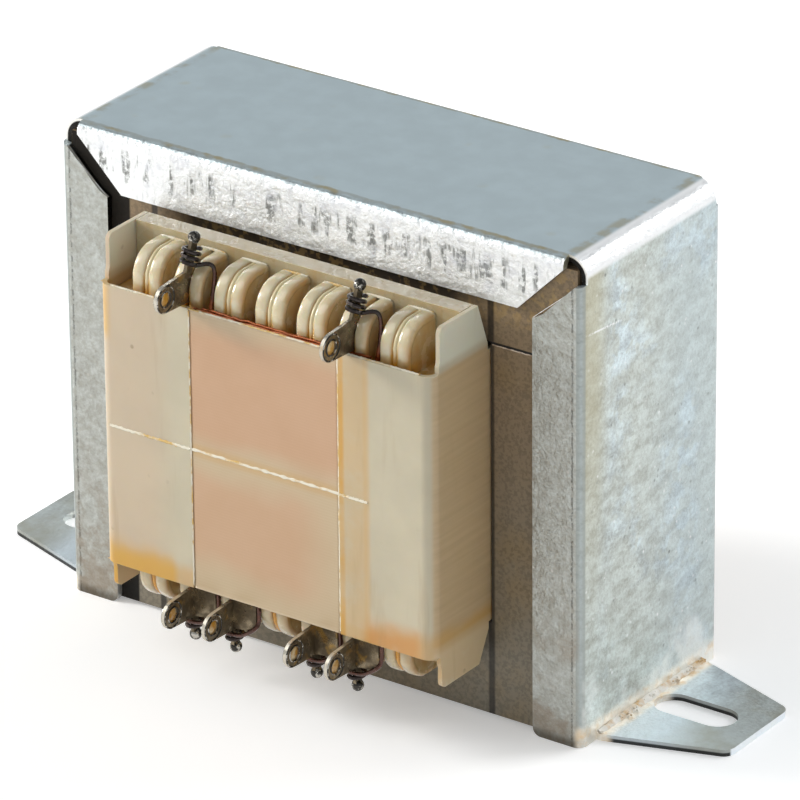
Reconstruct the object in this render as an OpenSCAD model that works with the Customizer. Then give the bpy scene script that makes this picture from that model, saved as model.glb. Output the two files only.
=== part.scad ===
// Chassis mounting mains transformer with an EI core, a folded clamp frame and a split bobbin.
// Origin: centre between the two feet, on their underside. +X along the feet, -Y the tag side, +Z up.

/* [Core] */
// Width of the lamination stack, mm
core_w = 66; // [60:1:80]
// Height of the stack over both yokes, mm
core_h = 55; // [50:1:66]
// Depth of the stack, mm
stack_d = 25; // [18:1:32]
// Width of the centre leg, mm
centre_leg_w = 22; // [16:1:26]
// Width of each outer leg, mm
outer_leg_w = 11; // [9:0.5:13]
// Height of a yoke and of an I sheet, mm
yoke_h = 11; // [9:0.5:13]
// Number of packs, each turned over against the one before it
pack_n = 5; // [3:1:9]
// Film of varnish between two packs, mm
pack_film = 0.04; // [0.02:0.01:0.1]
// Height of the stack above the mounting plane, mm
core_lift = 0.5; // [0.3:0.1:2]

/* [Clamp frame] */
// Thickness of the galvanised sheet, mm
sheet_t = 0.8; // [0.6:0.1:1]
// Clearance between the stack and each side wall, mm
frame_side_gap = 0.3; // [0.3:0.1:0.6]
// Clearance between the stack and the top sheet, mm
frame_top_gap = 0.7; // [0.6:0.1:1.5]
// Inner radius of the bend from a wall to the top, mm
top_bend_r = 1.6; // [0.8:0.1:1.6]
// Inner radius of the bend from a wall to its flange, mm
flange_bend_r = 0.3; // [0.1:0.1:0.3]
// Width of a side flange over its bend, mm
side_flange_w = 6.3; // [5:0.1:9]
// Height of a top flange over its bend, mm
top_flange_h = 7.2; // [6:0.1:8]
// Open width of the mitred gap between two flanges, mm
mitre_gap = 2.2; // [1:0.1:2.6]
// Start of the mitre inside the side flange's edge, mm
mitre_in = 1.9; // [1.5:0.1:2.2]
// Height of the bevel at a side flange's upper inner corner, mm
mitre_bevel = 1.3; // [0.8:0.1:1.8]
// Radius of the round relief at the outer end of the mitre, mm
mitre_hole_r = 1.6; // [1.3:0.1:1.8]
// Radius of the lower inner corner of a side flange, mm
flange_corner_r = 1; // [0.5:0.1:2]

/* [Feet] */
// Length of a foot beyond its wall, mm
foot_len = 14; // [12:0.1:20]
// Width of a foot at the wall, mm
foot_root_w = 20.8; // [16:0.1:22]
// Width of a foot at its outer edge, mm
foot_tip_w = 11.7; // [9:0.1:15]
// Radius of the outer corners of a foot, mm
foot_corner_r = 1.5; // [0.5:0.1:2.5]
// Inner radius of the bend from a wall to its foot, mm
foot_bend_r = 0.4; // [0.2:0.1:0.8]
// Distance of a slot's centre from the outer face of its wall, mm
slot_out = 5.9; // [5.7:0.1:7]
// Width of a slot, mm
slot_w = 4.5; // [3.5:0.1:5.5]
// Length of a slot over its round ends, mm
slot_len = 10; // [7:0.5:11]

/* [Bobbin] */
// Clearance between the bobbin tube and the centre leg, mm
tube_gap = 0.2; // [0.1:0.05:0.4]
// Wall of the bobbin tube, mm
tube_wall = 0.8; // [0.6:0.1:1.2]
// Height left free above the bobbin in the window, mm
bobbin_headroom = 0.6; // [0.4:0.1:1.5]
// Thickness of the end flanges and of the partition, mm
bobbin_flange_t = 0.8; // [0.6:0.1:1.2]
// Outer corner radius of the tube, mm
tube_corner_r = 0.5; // [0.2:0.1:1]
// Height of the tube above and below the end flanges, mm
tube_stub = 0.9; // [0.5:0.1:1.5]
// Clearance between the bobbin flanges and the covers, mm
flange_gap = 0.1; // [0.05:0.05:0.2]
// Front face of a terminal block before the stack, mm
block_front = 4.4; // [3.5:0.1:5.5]
// Back edge of the top of a terminal block before the stack, mm
block_lean = 2.1; // [1.6:0.1:2.8]
// Clearance between a terminal block and the stack, mm
block_gap = 0.3; // [0.2:0.1:0.6]
// Height of the upper terminal blocks above the flange, mm
upper_block_h = 6.5; // [5.5:0.1:6.5]
// Height of the lower terminal blocks below the flange, mm
lower_block_h = 5.1; // [4:0.1:6]

/* [Tag holders] */
// Number of tag holders in a row
holder_n = 7; // [3:2:7]
// Distance between two tag holders, mm
holder_pitch = 5.4; // [4.8:0.1:5.6]
// Thickness of each of the two ribs of a holder, mm
rib_t = 1.6; // [1.2:0.1:1.7]
// Width of the slot between the two ribs, mm
rib_slot = 0.5; // [0.5:0.05:0.7]
// Radius of the round front of a rib, mm
rib_r = 3; // [2.6:0.1:3]
// Centre of the round front before the stack, mm
rib_out = 6.3; // [5.5:0.1:6.4]
// Centre of the round front above the flange, mm
rib_rise = 2.4; // [2:0.1:2.6]
// Width of the notches in the flange that pass the leads, mm
notch_w = 0.9; // [0.7:0.1:1.2]
// Depth of the notches that pass the leads, mm
notch_d = 1.8; // [1.6:0.1:2.2]
// Clearance between a lead and the bottom of its notch, mm
notch_gap = 0.15; // [0.1:0.05:0.25]

/* [Covers] */
// Wall of the moulded covers, mm
cover_t = 0.5; // [0.4:0.1:0.7]
// Clearance between a cover and the window of the stack, mm
cover_side_gap = 0.2; // [0.1:0.1:0.4]
// Outer face of the covers before the stack, mm
cover_out = 10.7; // [9.5:0.1:12]
// Height of a cover's front wall over the bobbin's end flange, mm
cover_rim = 1.3; // [0.6:0.1:1.3]
// Outer radius of the upright corners, mm
cover_corner_r = 1.4; // [0.8:0.1:2]
// Distance between the edges of the two covers, mm
cover_mouth_w = 19.6; // [14:0.2:26]
// Clearance between a cover and the yokes, mm
cover_yoke_gap = 0.2; // [0.1:0.1:0.5]
// Front edge of the tabs behind the cover's face, mm
tab_setback = 1.6; // [1.5:0.1:2.5]
// Radius of the tab's upper front corner, mm
tab_corner_r = 0.8; // [0.4:0.1:1.2]

/* [Windings] */
// Clearance between the windings and what holds them, mm
winding_gap = 0.1; // [0.05:0.05:0.2]
// Thickness of the outer wrap, mm
wrap_t = 0.3; // [0.2:0.05:0.4]
// Clearance between the outer wrap and the covers, mm
wrap_gap = 0.2; // [0.1:0.05:0.3]
// Outer corner radius of the wound coil, mm
coil_corner_r = 3.5; // [2:0.1:5]

/* [Solder tags] */
// Thickness of the tag sheet, mm
tag_t = 0.4; // [0.3:0.05:0.4]
// Distance of the eyelet's hole from the front of the ribs, mm
eyelet_out = 3.9; // [3:0.1:5]
// Radius of the eyelet's round end, mm
eyelet_r = 1.6; // [1.3:0.05:1.7]
// Radius of the hole in the eyelet, mm
eyelet_hole_r = 0.85; // [0.5:0.05:1]
// Height of the leg where it leaves the holder, mm
leg_h = 3.6; // [3.4:0.1:3.6]
// Length of the tongue in the holder's slot, mm
tongue_len = 4; // [2:0.1:4.4]
// Step from the lower edge of the leg to the tongue, mm
tongue_low = 0.5; // [0.3:0.1:0.8]
// Step from the upper edge of the leg to the tongue, mm
tongue_high = 0.9; // [0.5:0.1:1.2]
// Width of the wing that a lower tag has beside its leg, mm
wing_w = 3.2; // [2.4:0.1:3.2]
// Height cut away from the wing's outer corner, mm
wing_cut = 1; // [0.4:0.1:1.6]
// Depth of the wing's upper edge below the leg's, mm
wing_drop = 0.4; // [0.2:0.1:0.6]
// Width of the wrapped prong, mm
prong_w = 1.1; // [0.8:0.1:1.2]
// Length of a prong that lies inside its leg, mm
prong_in = 0.5; // [0.4:0.1:0.8]
// Length of an upper prong, mm
upper_prong_len = 4.2; // [3.6:0.1:4.8]
// Length of a lower prong, mm
lower_prong_len = 2.9; // [2.9:0.1:3.2]
// Angle of an upper prong towards the stack, degrees
upper_lean = 20; // [12:1:22]
// Angle of a lower prong towards the stack, degrees
lower_lean = 4; // [0:1:10]
// Clearance between the upper tags and the cover below them, mm
upper_tag_gap = 0.05; // [0.05:0.05:0.4]
// Clearance between the lower tags and the cover above them, mm
lower_tag_gap = 0.6; // [0.4:0.05:0.8]

/* [Leads] */
// Diameter of the enamelled lead wire, mm
wire_d = 0.5; // [0.35:0.05:0.5]
// Radius of the turns round a prong, mm
wrap_r = 0.9; // [0.88:0.01:0.95]
// Number of turns round an upper prong
upper_turns = 3; // [1:1:3]
// Number of turns round a lower prong
lower_turns = 1.5; // [0.5:1:1.5]
// Distance between two turns, mm
turn_pitch = 0.62; // [0.6:0.01:0.65]
// Clearance between the turns and the solder bead, mm
turn_gap = 0.05; // [0.02:0.01:0.1]
// Radius of the solder bead at a prong's tip, mm
solder_r = 0.7; // [0.65:0.01:0.75]
// Depth of the bead's centre below the prong's tip, mm
solder_in = 0.1; // [0:0.05:0.2]

/* [Hidden] */

$fn = 48;
eps = 0.01;
over = 1;

galvanised = [0.74, 0.76, 0.76];
steel_grey = [0.42, 0.42, 0.40];
nylon = [0.84, 0.79, 0.67];
nylon_cover = [0.86, 0.80, 0.68];
film = [0.86, 0.68, 0.52];
copper = [0.74, 0.42, 0.25];
tinned = [0.66, 0.64, 0.60];
solder_grey = [0.72, 0.72, 0.71];

// Stack
leg_h_e = core_h - yoke_h;
window_w = (core_w - centre_leg_w) / 2 - outer_leg_w;
core_top = core_lift + core_h;
core_face = stack_d / 2;
pack_t = (stack_d - (pack_n - 1) * pack_film) / pack_n;

// Clamp frame
wall_in = core_w / 2 + frame_side_gap;
wall_out = wall_in + sheet_t;
frame_top = core_top + frame_top_gap + sheet_t;
flange_out = core_face + sheet_t;
bend_out = flange_bend_r + sheet_t;
web_edge = flange_out - bend_out;
flange_in_x = wall_out - side_flange_w;
mitre_x = flange_in_x - mitre_in;
foot_angle = atan((foot_root_w - foot_tip_w) / 2 / (foot_len - foot_bend_r));
slot_x = wall_out + slot_out;

// Bobbin
window_floor = core_lift + yoke_h;
bobbin_h = core_h - 2 * yoke_h - bobbin_headroom;
bobbin_mid = window_floor + bobbin_h / 2;
flange_top = bobbin_h / 2 - tube_stub;
tube_x = centre_leg_w / 2 + tube_gap + tube_wall;
tube_y = core_face + tube_gap + tube_wall;

// Covers
cover_x = centre_leg_w / 2 + window_w - cover_side_gap;
cover_y = core_face + cover_out;
cover_in_x = cover_x - cover_t;
cover_in_y = cover_y - cover_t;
cover_half_h = flange_top + cover_rim;
bobbin_x = cover_in_x - flange_gap;
bobbin_y = cover_in_y - flange_gap;
block_y = core_face + block_front;
block_back_y = core_face + block_gap;
block_lean_y = core_face + block_lean;
upper_block_top = flange_top + upper_block_h;
lower_block_top = flange_top + lower_block_h;
tab_y = cover_y - tab_setback;

// Tag holders
rib_y = core_face + rib_out;
rib_z = flange_top + rib_rise;
holder_x = [for (i = [0 : holder_n - 1]) (i - (holder_n - 1) / 2) * holder_pitch];
notch_x = [for (i = [0 : holder_n - 2]) holder_x[i] + holder_pitch / 2];
lead_y = bobbin_y - notch_d + wire_d / 2 + notch_gap;

// Windings
wrap_x = cover_in_x - wrap_gap;
wrap_y = cover_in_y - wrap_gap;
coil_x = wrap_x - wrap_t;
coil_y = wrap_y - wrap_t;
coil_in_x = tube_x + winding_gap;
coil_in_y = tube_y + winding_gap;
coil_in_r = tube_corner_r + winding_gap;
coil_low = bobbin_flange_t / 2 + winding_gap;
coil_high = flange_top - bobbin_flange_t - winding_gap;

// Tags and leads; places counted in holders from the left
rib_front = rib_y + rib_r;
tag_y = rib_front + tag_t / 2;
prong_y = tag_t / 2;
prong_root = leg_h / 2 - prong_in;
upper_tag_rise = cover_half_h + upper_tag_gap + leg_h / 2;
lower_tag_rise = cover_half_h + lower_tag_gap + leg_h / 2;
upper_places = [1, 5];
lower_places = [1, 2, 4, 5];
wire_r = wire_d / 2;
wire_sides = 8;
turn_steps = 14;

// ---------- helpers ----------

// Mirrors its children to both sides of the plane x = 0
module both_x() {
    children();
    mirror([1, 0, 0]) children();
}

// Mirrors its children to both sides of the plane y = 0
module both_y() {
    children();
    mirror([0, 1, 0]) children();
}

// Rectangle about the centre with round corners, from its half sizes
module round_rect(hx, hy, r) {
    square([2 * hx, 2 * (hy - r)], center = true);
    square([2 * (hx - r), 2 * hy], center = true);
    for (sx = [-1, 1], sy = [-1, 1])
        translate([sx * (hx - r), sy * (hy - r)]) circle(r);
}

// Extrudes a profile drawn in (y, z) along x, centred on x = 0
module along_x(w) {
    rotate([90, 0, 90]) translate([0, 0, -w / 2]) linear_extrude(w) children();
}

// Extrudes a profile drawn in (x, z) along y, centred on y = 0
module along_y(d) {
    rotate([90, 0, 0]) translate([0, 0, -d / 2]) linear_extrude(d) children();
}

// Ring wound round the bobbin tube, between two rounded rectangles
module wound_ring(in_x, in_y, in_r, out_x, out_y, out_r, z0, z1) {
    translate([0, 0, z0])
        linear_extrude(z1 - z0)
            difference() {
                round_rect(out_x, out_y, out_r);
                round_rect(in_x, in_y, in_r);
            }
}

function unit(v) = v / norm(v);
function tangent(p, i) =
    i == 0 ? unit(p[1] - p[0]) :
    i == len(p) - 1 ? unit(p[i] - p[i - 1]) :
    unit(unit(p[i + 1] - p[i]) + unit(p[i] - p[i - 1]));
// Normals carried along the path without twist
function carried(p, n) = [
    for (i = 0, q = n; i < len(p); i = i + 1,
         q = i < len(p) ? let (t = tangent(p, i)) unit(q - (q * t) * t) : q) q];

// Round wire along a path of points; start_n is square to its first stretch
module wire(path, r, sides, start_n) {
    normals = carried(path, start_n);
    rings = [for (i = [0 : len(path) - 1])
        let (t = tangent(path, i), a = normals[i], b = cross(t, a))
        for (k = [0 : sides - 1])
            path[i] + r * (cos(k * 360 / sides) * a + sin(k * 360 / sides) * b)];
    last = (len(path) - 1) * sides;
    faces = concat(
        [[for (k = [0 : sides - 1]) k]],
        [for (i = [0 : len(path) - 2], k = [0 : sides - 1])
            [i * sides + k, (i + 1) * sides + k,
             (i + 1) * sides + (k + 1) % sides, i * sides + (k + 1) % sides]],
        [[for (k = [sides - 1 : -1 : 0]) last + k]]);
    polyhedron(rings, faces, convexity = 8);
}

// Points on a smooth curve through chosen points
function smooth(p, n) = [
    for (i = [0 : len(p) - 2], s = [0 : n - 1])
        let (u = s / n,
             a = p[max(i - 1, 0)], b = p[i], c = p[i + 1], d = p[min(i + 2, len(p) - 1)])
        0.5 * (2 * b + (c - a) * u + (2 * a - 5 * b + 4 * c - d) * u * u
               + (3 * b - a - 3 * c + d) * u * u * u),
    p[len(p) - 1]];

// ---------- clamp frame ----------

// Section of the walls and the top, bent from one strip
module strip_section() {
    difference() {
        intersection() {
            translate([0, frame_top / 2 - top_bend_r])
                round_rect(wall_out, frame_top / 2 + top_bend_r, top_bend_r + sheet_t);
            translate([-wall_out, 0]) square([2 * wall_out, frame_top]);
        }
        translate([0, (frame_top - sheet_t) / 2 - top_bend_r])
            round_rect(wall_in, (frame_top - sheet_t) / 2 + top_bend_r, top_bend_r);
    }
}

// Plan of a wall with its two flanges
module wall_plan() {
    difference() {
        intersection() {
            translate([wall_out - side_flange_w, 0])
                round_rect(side_flange_w, flange_out, bend_out);
            translate([flange_in_x, -flange_out]) square([side_flange_w, 2 * flange_out]);
        }
        translate([wall_in - side_flange_w, 0])
            round_rect(side_flange_w, core_face, flange_bend_r);
    }
}

// Section of the top with its two flanges, in (y, z)
module top_section() {
    difference() {
        intersection() {
            translate([0, frame_top - top_flange_h])
                round_rect(flange_out, top_flange_h, bend_out);
            translate([-flange_out, frame_top - top_flange_h])
                square([2 * flange_out, top_flange_h]);
        }
        translate([0, frame_top - sheet_t - top_flange_h])
            round_rect(core_face, top_flange_h, flange_bend_r);
    }
}

// Mitred gap between the top flange and a side flange, in (x, z)
module mitre_cut() {
    low = frame_top - top_flange_h;
    reach = wall_out - mitre_x + 2 * over;
    g = mitre_gap * sqrt(2);
    polygon([[mitre_x, low], [mitre_x + reach, low + reach],
             [mitre_x + g + reach, low + reach], [mitre_x + g, low],
             [flange_in_x - over, low - mitre_bevel], [mitre_x - mitre_bevel, low - mitre_bevel]]);
    translate([wall_in, core_top]) circle(mitre_hole_r);
}

// Outline of a foot, from the end of its bend outwards
module foot_outline() {
    root_x = wall_out + foot_bend_r;
    cx = wall_out + foot_len - foot_corner_r;
    cy = foot_root_w / 2 - (cx - root_x) * tan(foot_angle) - foot_corner_r / cos(foot_angle);
    sx = foot_corner_r * sin(foot_angle);
    sy = foot_corner_r * cos(foot_angle);
    polygon([[root_x, -foot_root_w / 2], [cx + sx, -cy - sy], [cx + foot_corner_r, -cy],
             [cx + foot_corner_r, cy], [cx + sx, cy + sy], [root_x, foot_root_w / 2]]);
    for (s = [-1, 1])
        translate([cx, s * cy]) circle(foot_corner_r);
}

module slot_outline() {
    half = (slot_len - slot_w) / 2;
    translate([slot_x, 0]) {
        square([2 * half, slot_w], center = true);
        for (s = [-1, 1])
            translate([s * half, 0]) circle(slot_w / 2);
    }
}

// Quarter bend between a wall and its foot, hollow side outwards, in (x, z)
module foot_bend_section() {
    translate([wall_out + foot_bend_r, sheet_t + foot_bend_r])
        difference() {
            intersection() {
                circle(sheet_t + foot_bend_r);
                translate([-sheet_t - foot_bend_r, -sheet_t - foot_bend_r])
                    square(sheet_t + foot_bend_r);
            }
            circle(foot_bend_r);
        }
}

module foot() {
    difference() {
        linear_extrude(sheet_t) foot_outline();
        translate([0, 0, -over]) linear_extrude(sheet_t + 2 * over) slot_outline();
    }
    along_y(foot_root_w) foot_bend_section();
}

// Foot of the wall that gives way to the bend
module bend_cut() {
    translate([wall_in - over, -foot_root_w / 2, -over])
        cube([sheet_t + 2 * over, foot_root_w, sheet_t + foot_bend_r + over]);
}

// Lower inner corner of a side flange, cut round
module flange_corner_cut() {
    along_y(2 * (flange_out + over))
        translate([flange_in_x, 0])
            difference() {
                translate([-over, -over])
                    square([flange_corner_r + over, flange_corner_r + over]);
                translate([flange_corner_r, flange_corner_r]) circle(flange_corner_r);
            }
}

module clamp_frame() {
    color(galvanised) {
        difference() {
            union() {
                along_y(2 * web_edge) strip_section();
                both_x()
                    linear_extrude(frame_top - top_bend_r - sheet_t) wall_plan();
                along_x(2 * (wall_out - top_bend_r - sheet_t)) top_section();
            }
            both_x() {
                both_y()
                    translate([0, (web_edge + flange_out + over) / 2, 0])
                        along_y(flange_out + over - web_edge) mitre_cut();
                bend_cut();
                flange_corner_cut();
            }
        }
        both_x() foot();
    }
}

// ---------- stack ----------

// Outline of an E sheet in (x, z), yoke at the bottom
module e_outline() {
    difference() {
        translate([-core_w / 2, 0]) square([core_w, leg_h_e]);
        for (s = [-1, 1])
            translate([s * (centre_leg_w + window_w) / 2 - window_w / 2, yoke_h])
                square([window_w, leg_h_e]);
    }
}

// Place of the middle of pack i along y, front to back
function pack_y(i) = -core_face + pack_t / 2 + i * (pack_t + pack_film);

// Turns every other pack over
module turned(i) {
    if (i % 2 == 0) translate([0, pack_y(i), core_lift]) children();
    else translate([0, pack_y(i), core_top]) mirror([0, 0, 1]) children();
}

module e_laminations() {
    color(steel_grey)
        for (i = [0 : pack_n - 1])
            turned(i) along_y(pack_t) e_outline();
}

module i_laminations() {
    color(steel_grey)
        for (i = [0 : pack_n - 1])
            turned(i)
                translate([-core_w / 2, -pack_t / 2, leg_h_e]) cube([core_w, pack_t, yoke_h]);
}

// ---------- bobbin ----------

// Section of a terminal block in (y, z), on the +y side, standing on the flange
module block_section(h) {
    knee = core_top - yoke_h - bobbin_mid - flange_top;
    polygon([[block_y, -bobbin_flange_t / 2], [block_y, h], [block_lean_y, h],
             [block_back_y, knee], [block_back_y, -bobbin_flange_t / 2]]);
}

// Section of a rib in (y, z), on the +y side, standing on the flange
module rib_section() {
    translate([rib_y, rib_rise]) circle(rib_r);
    translate([block_y - eps, -eps])
        square([rib_y - block_y + eps, rib_rise + rib_r + eps]);
}

module holder_row() {
    for (x = holder_x, s = [-1, 1])
        translate([x + s * (rib_slot + rib_t) / 2, 0, 0]) along_x(rib_t) rib_section();
}

// Plate of a flange or of the partition
module flange_plate() {
    linear_extrude(bobbin_flange_t) round_rect(bobbin_x, bobbin_y, cover_corner_r - cover_t);
}

// One end of the bobbin, its flange's outer face at z = 0 and its blocks above
module bobbin_end(h) {
    difference() {
        translate([0, 0, -bobbin_flange_t]) flange_plate();
        for (x = notch_x, s = [-1, 1])
            translate([x - notch_w / 2, s * bobbin_y - notch_d, -bobbin_flange_t - over])
                cube([notch_w, 2 * notch_d, bobbin_flange_t + 2 * over]);
    }
    both_y() {
        along_x(2 * bobbin_x) block_section(h);
        holder_row();
    }
}

module bobbin() {
    color(nylon)
        translate([0, 0, bobbin_mid])
            difference() {
                union() {
                    translate([0, 0, -bobbin_h / 2])
                        linear_extrude(bobbin_h) round_rect(tube_x, tube_y, tube_corner_r);
                    translate([0, 0, -bobbin_flange_t / 2]) flange_plate();
                    translate([0, 0, flange_top]) bobbin_end(upper_block_h);
                    mirror([0, 0, 1]) translate([0, 0, flange_top]) bobbin_end(lower_block_h);
                }
                translate([0, 0, -bobbin_h / 2 - over])
                    linear_extrude(bobbin_h + 2 * over)
                        square([2 * (tube_x - tube_wall), 2 * (tube_y - tube_wall)],
                               center = true);
            }
}

// ---------- covers ----------

// Side wall of a cover in (y, z) about the middle of the bobbin, +y half
module tab_section(h) {
    knee = core_top - yoke_h - bobbin_mid;
    difference() {
        union() {
            polygon([[block_back_y, 0], [block_back_y, knee], [block_lean_y, h],
                     [tab_y - tab_corner_r, h], [tab_y, h - tab_corner_r], [tab_y, 0]]);
            translate([tab_y - tab_corner_r, h - tab_corner_r]) circle(tab_corner_r);
            translate([tab_y - eps, cover_half_h - eps])
                square([tab_setback - cover_t, tab_setback]);
        }
        translate([tab_y + tab_setback, cover_half_h + tab_setback]) circle(tab_setback);
        translate([cover_y - cover_corner_r, cover_half_h])
            square([cover_corner_r + over, tab_setback]);
    }
}

module side_section() {
    square([2 * (block_back_y + eps), bobbin_h - 2 * cover_yoke_gap], center = true);
    for (s = [0, 1])
        mirror([s, 0]) {
            tab_section(upper_block_top);
            mirror([0, 1]) tab_section(lower_block_top);
        }
}

// Plan of the walls of a cover, on the +x side
module cover_plan() {
    difference() {
        round_rect(cover_x, cover_y, cover_corner_r);
        round_rect(cover_in_x, cover_in_y, cover_corner_r - cover_t);
        translate([-cover_x - over, -cover_y - over])
            square([cover_x + over + cover_mouth_w / 2, 2 * (cover_y + over)]);
        square([4 * cover_x, 2 * block_back_y], center = true);
    }
}

module cover() {
    translate([0, 0, bobbin_mid]) {
        translate([0, 0, -cover_half_h]) linear_extrude(2 * cover_half_h) cover_plan();
        translate([cover_in_x + cover_t / 2, 0, 0]) along_x(cover_t) side_section();
    }
}

module right_cover() {
    color(nylon_cover) cover();
}

module left_cover() {
    color(nylon_cover) mirror([1, 0, 0]) cover();
}

// ---------- windings ----------

module primary_winding() {
    color(copper)
        translate([0, 0, bobbin_mid])
            wound_ring(coil_in_x, coil_in_y, coil_in_r, coil_x, coil_y, coil_corner_r,
                       coil_low, coil_high);
}

module primary_wrap() {
    color(film)
        translate([0, 0, bobbin_mid])
            wound_ring(coil_x, coil_y, coil_corner_r, wrap_x, wrap_y, coil_corner_r + wrap_t,
                       coil_low, coil_high);
}

module secondary_winding() {
    color(copper)
        translate([0, 0, bobbin_mid])
            wound_ring(coil_in_x, coil_in_y, coil_in_r, coil_x, coil_y, coil_corner_r,
                       -coil_high, -coil_low);
}

module secondary_wrap() {
    color(film)
        translate([0, 0, bobbin_mid])
            wound_ring(coil_x, coil_y, coil_corner_r, wrap_x, wrap_y, coil_corner_r + wrap_t,
                       -coil_high, -coil_low);
}

// ---------- solder tags ----------
// A tag is drawn for a holder at x = 0, the middle of its leg at z = 0 and its wing in the plane
// y = 0, with the stack on the +y side and the prong pointing up. Lower tags are turned over.

// Leg with the eyelet in front and the tongue behind, in (y, z)
module leg_section() {
    polygon([[tag_t / 2, -leg_h / 2], [tag_t / 2, leg_h / 2], [-tag_t / 2, leg_h / 2],
             [-eyelet_out, eyelet_r], [-eyelet_out, -eyelet_r], [-tag_t / 2, -leg_h / 2]]);
    translate([-eyelet_out, 0]) circle(eyelet_r);
    translate([0, -leg_h / 2 + tongue_low])
        square([tongue_len, leg_h - tongue_low - tongue_high]);
}

// Puts its children on a prong's axis, the root of the prong at z = 0
module on_prong(lean) {
    translate([0, prong_y, prong_root]) rotate([-lean, 0, 0]) children();
}

module prong(len) {
    translate([-tag_t / 2, -prong_w / 2, 0]) cube([tag_t, prong_w, len]);
}

module tag(len, lean) {
    difference() {
        along_x(tag_t) leg_section();
        translate([0, -eyelet_out, 0]) rotate([0, 90, 0])
            cylinder(r = eyelet_hole_r, h = tag_t + 2 * over, center = true);
    }
    on_prong(lean) prong(len);
}

// Flat wing beside the leg, in front of the right rib, in (x, z)
module wing() {
    edge_z = leg_h / 2 - wing_drop;
    along_y(tag_t)
        polygon([[0, -leg_h / 2], [wing_w, -leg_h / 2], [wing_w, edge_z - wing_cut],
                 [wing_w - wing_cut, edge_z], [tag_t, edge_z + wing_drop / 2], [0, leg_h / 2]]);
}

// Puts a tag, bead or lead drawn as above at its place in the upper or the lower row
module at_upper(i) {
    translate([holder_x[i], -tag_y, bobbin_mid + upper_tag_rise]) children();
}

module at_lower(i) {
    translate([holder_x[i], -tag_y, bobbin_mid - lower_tag_rise]) mirror([0, 0, 1]) children();
}

module tag_upper(k) {
    color(tinned) at_upper(upper_places[k]) tag(upper_prong_len, upper_lean);
}

module tag_lower(k) {
    color(tinned) at_lower(lower_places[k]) {
        tag(lower_prong_len, lower_lean);
        wing();
    }
}

// ---------- solder ----------

module bead(len, lean) {
    on_prong(lean)
        difference() {
            translate([0, 0, len - solder_in]) sphere(solder_r);
            prong(len);
        }
}

module solder_upper(k) {
    color(solder_grey) at_upper(upper_places[k]) bead(upper_prong_len, upper_lean);
}

module solder_lower(k) {
    color(solder_grey) at_lower(lower_places[k]) bead(lower_prong_len, lower_lean);
}

// ---------- leads ----------

// A direction on a leaning prong, turned into the tag's own directions
function leaning(v, lean) = [v[0], v[1] * cos(lean) + v[2] * sin(lean),
                             v[2] * cos(lean) - v[1] * sin(lean)];

// Turns round a prong from its bead towards its root; the last point lies at angle end_a,
// where 0 is the right side and -90 the front
function turns(n, end_a, len, lean) =
    let (z0 = len - solder_in - solder_r - wire_r - turn_gap, steps = n * turn_steps)
    [for (i = [0 : steps])
        let (a = end_a + (i - steps) * 360 / turn_steps)
        [0, prong_y, prong_root]
        + leaning([wrap_r * cos(a), wrap_r * sin(a), z0 - i / turn_steps * turn_pitch], lean)];

function last(p) = p[len(p) - 1];

// Wire through the turns and on along a smooth curve through chosen points
module lead(coil, points) {
    curve = smooth(concat([last(coil)], points), 4);
    path = concat(coil, [for (i = [1 : len(curve) - 1]) curve[i]]);
    wire(path, wire_r, wire_sides, unit(coil[0] - coil[turn_steps / 2]));
}

// Places below count from the middle of a leg: drop is the depth of the flange's outer face
upper_drop = upper_tag_rise - flange_top;
lower_drop = lower_tag_rise - flange_top;
flange_reach = bobbin_flange_t + winding_gap;
lead_in = tag_y - lead_y;
gap_x = holder_pitch / 2;

upper_coil = turns(upper_turns, 0, upper_prong_len, upper_lean);
lower_coil = turns(lower_turns, -90, lower_prong_len, lower_lean);
over_rib = [[gap_x - 0.5, 1.3, leg_h / 2 + 0.9],
            [gap_x, 1.5, leg_h / 2]];

// Down through the notch of the flange and on to the winding
function into_notch(dx, drop) = [
    [dx, lead_in, -drop + 0.15],
    [dx, lead_in, -drop - flange_reach / 2],
    [dx, lead_in, -drop - flange_reach]];

// The left upper lead lies along the ribs to the notch before the other upper tag
trough_y = tag_y - rib_front - wire_r + 0.25;
trough_z = -upper_drop + wire_r + 0.65;
far_x = holder_x[upper_places[1]] - holder_x[upper_places[0]] - gap_x;
trough_route = concat(
    over_rib,
    [[gap_x, 1.0, -1.0],
     [gap_x + 0.2, 0.45, trough_z + 0.2],
     [gap_x + 1, trough_y, trough_z],
     [holder_pitch, trough_y, trough_z],
     [far_x - holder_pitch / 2, trough_y, trough_z],
     [far_x - 1.5, trough_y, trough_z],
     [far_x - 0.5, trough_y + 0.15, trough_z - 0.05]],
    into_notch(far_x, upper_drop));

short_route = concat(
    over_rib,
    [[gap_x, 1.4, -0.5], [gap_x, lead_in + 0.1, -upper_drop + 0.9]],
    into_notch(gap_x, upper_drop));

// A lower lead goes round the outer edge of the wing
edge_x = wing_w + wire_r + 0.08;
edge_route = concat(
    [[wing_w / 2, -0.6, leg_h / 2 + 0.1],
     [wing_w, -0.6, leg_h / 2 - wing_cut],
     [edge_x, -0.15, 0],
     [edge_x, -0.1, -leg_h / 2],
     [gap_x + 0.6, 0, -leg_h / 2 - 0.6],
     [gap_x + 0.1, lead_in - 0.2, -lower_drop + 0.8]],
    into_notch(gap_x, lower_drop));

module lead_upper_1() {
    color(copper) at_upper(upper_places[0]) lead(upper_coil, trough_route);
}

module lead_upper_2() {
    color(copper) at_upper(upper_places[1]) lead(upper_coil, short_route);
}

module lead_lower(k) {
    color(copper) at_lower(lower_places[k]) lead(lower_coil, edge_route);
}

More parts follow.
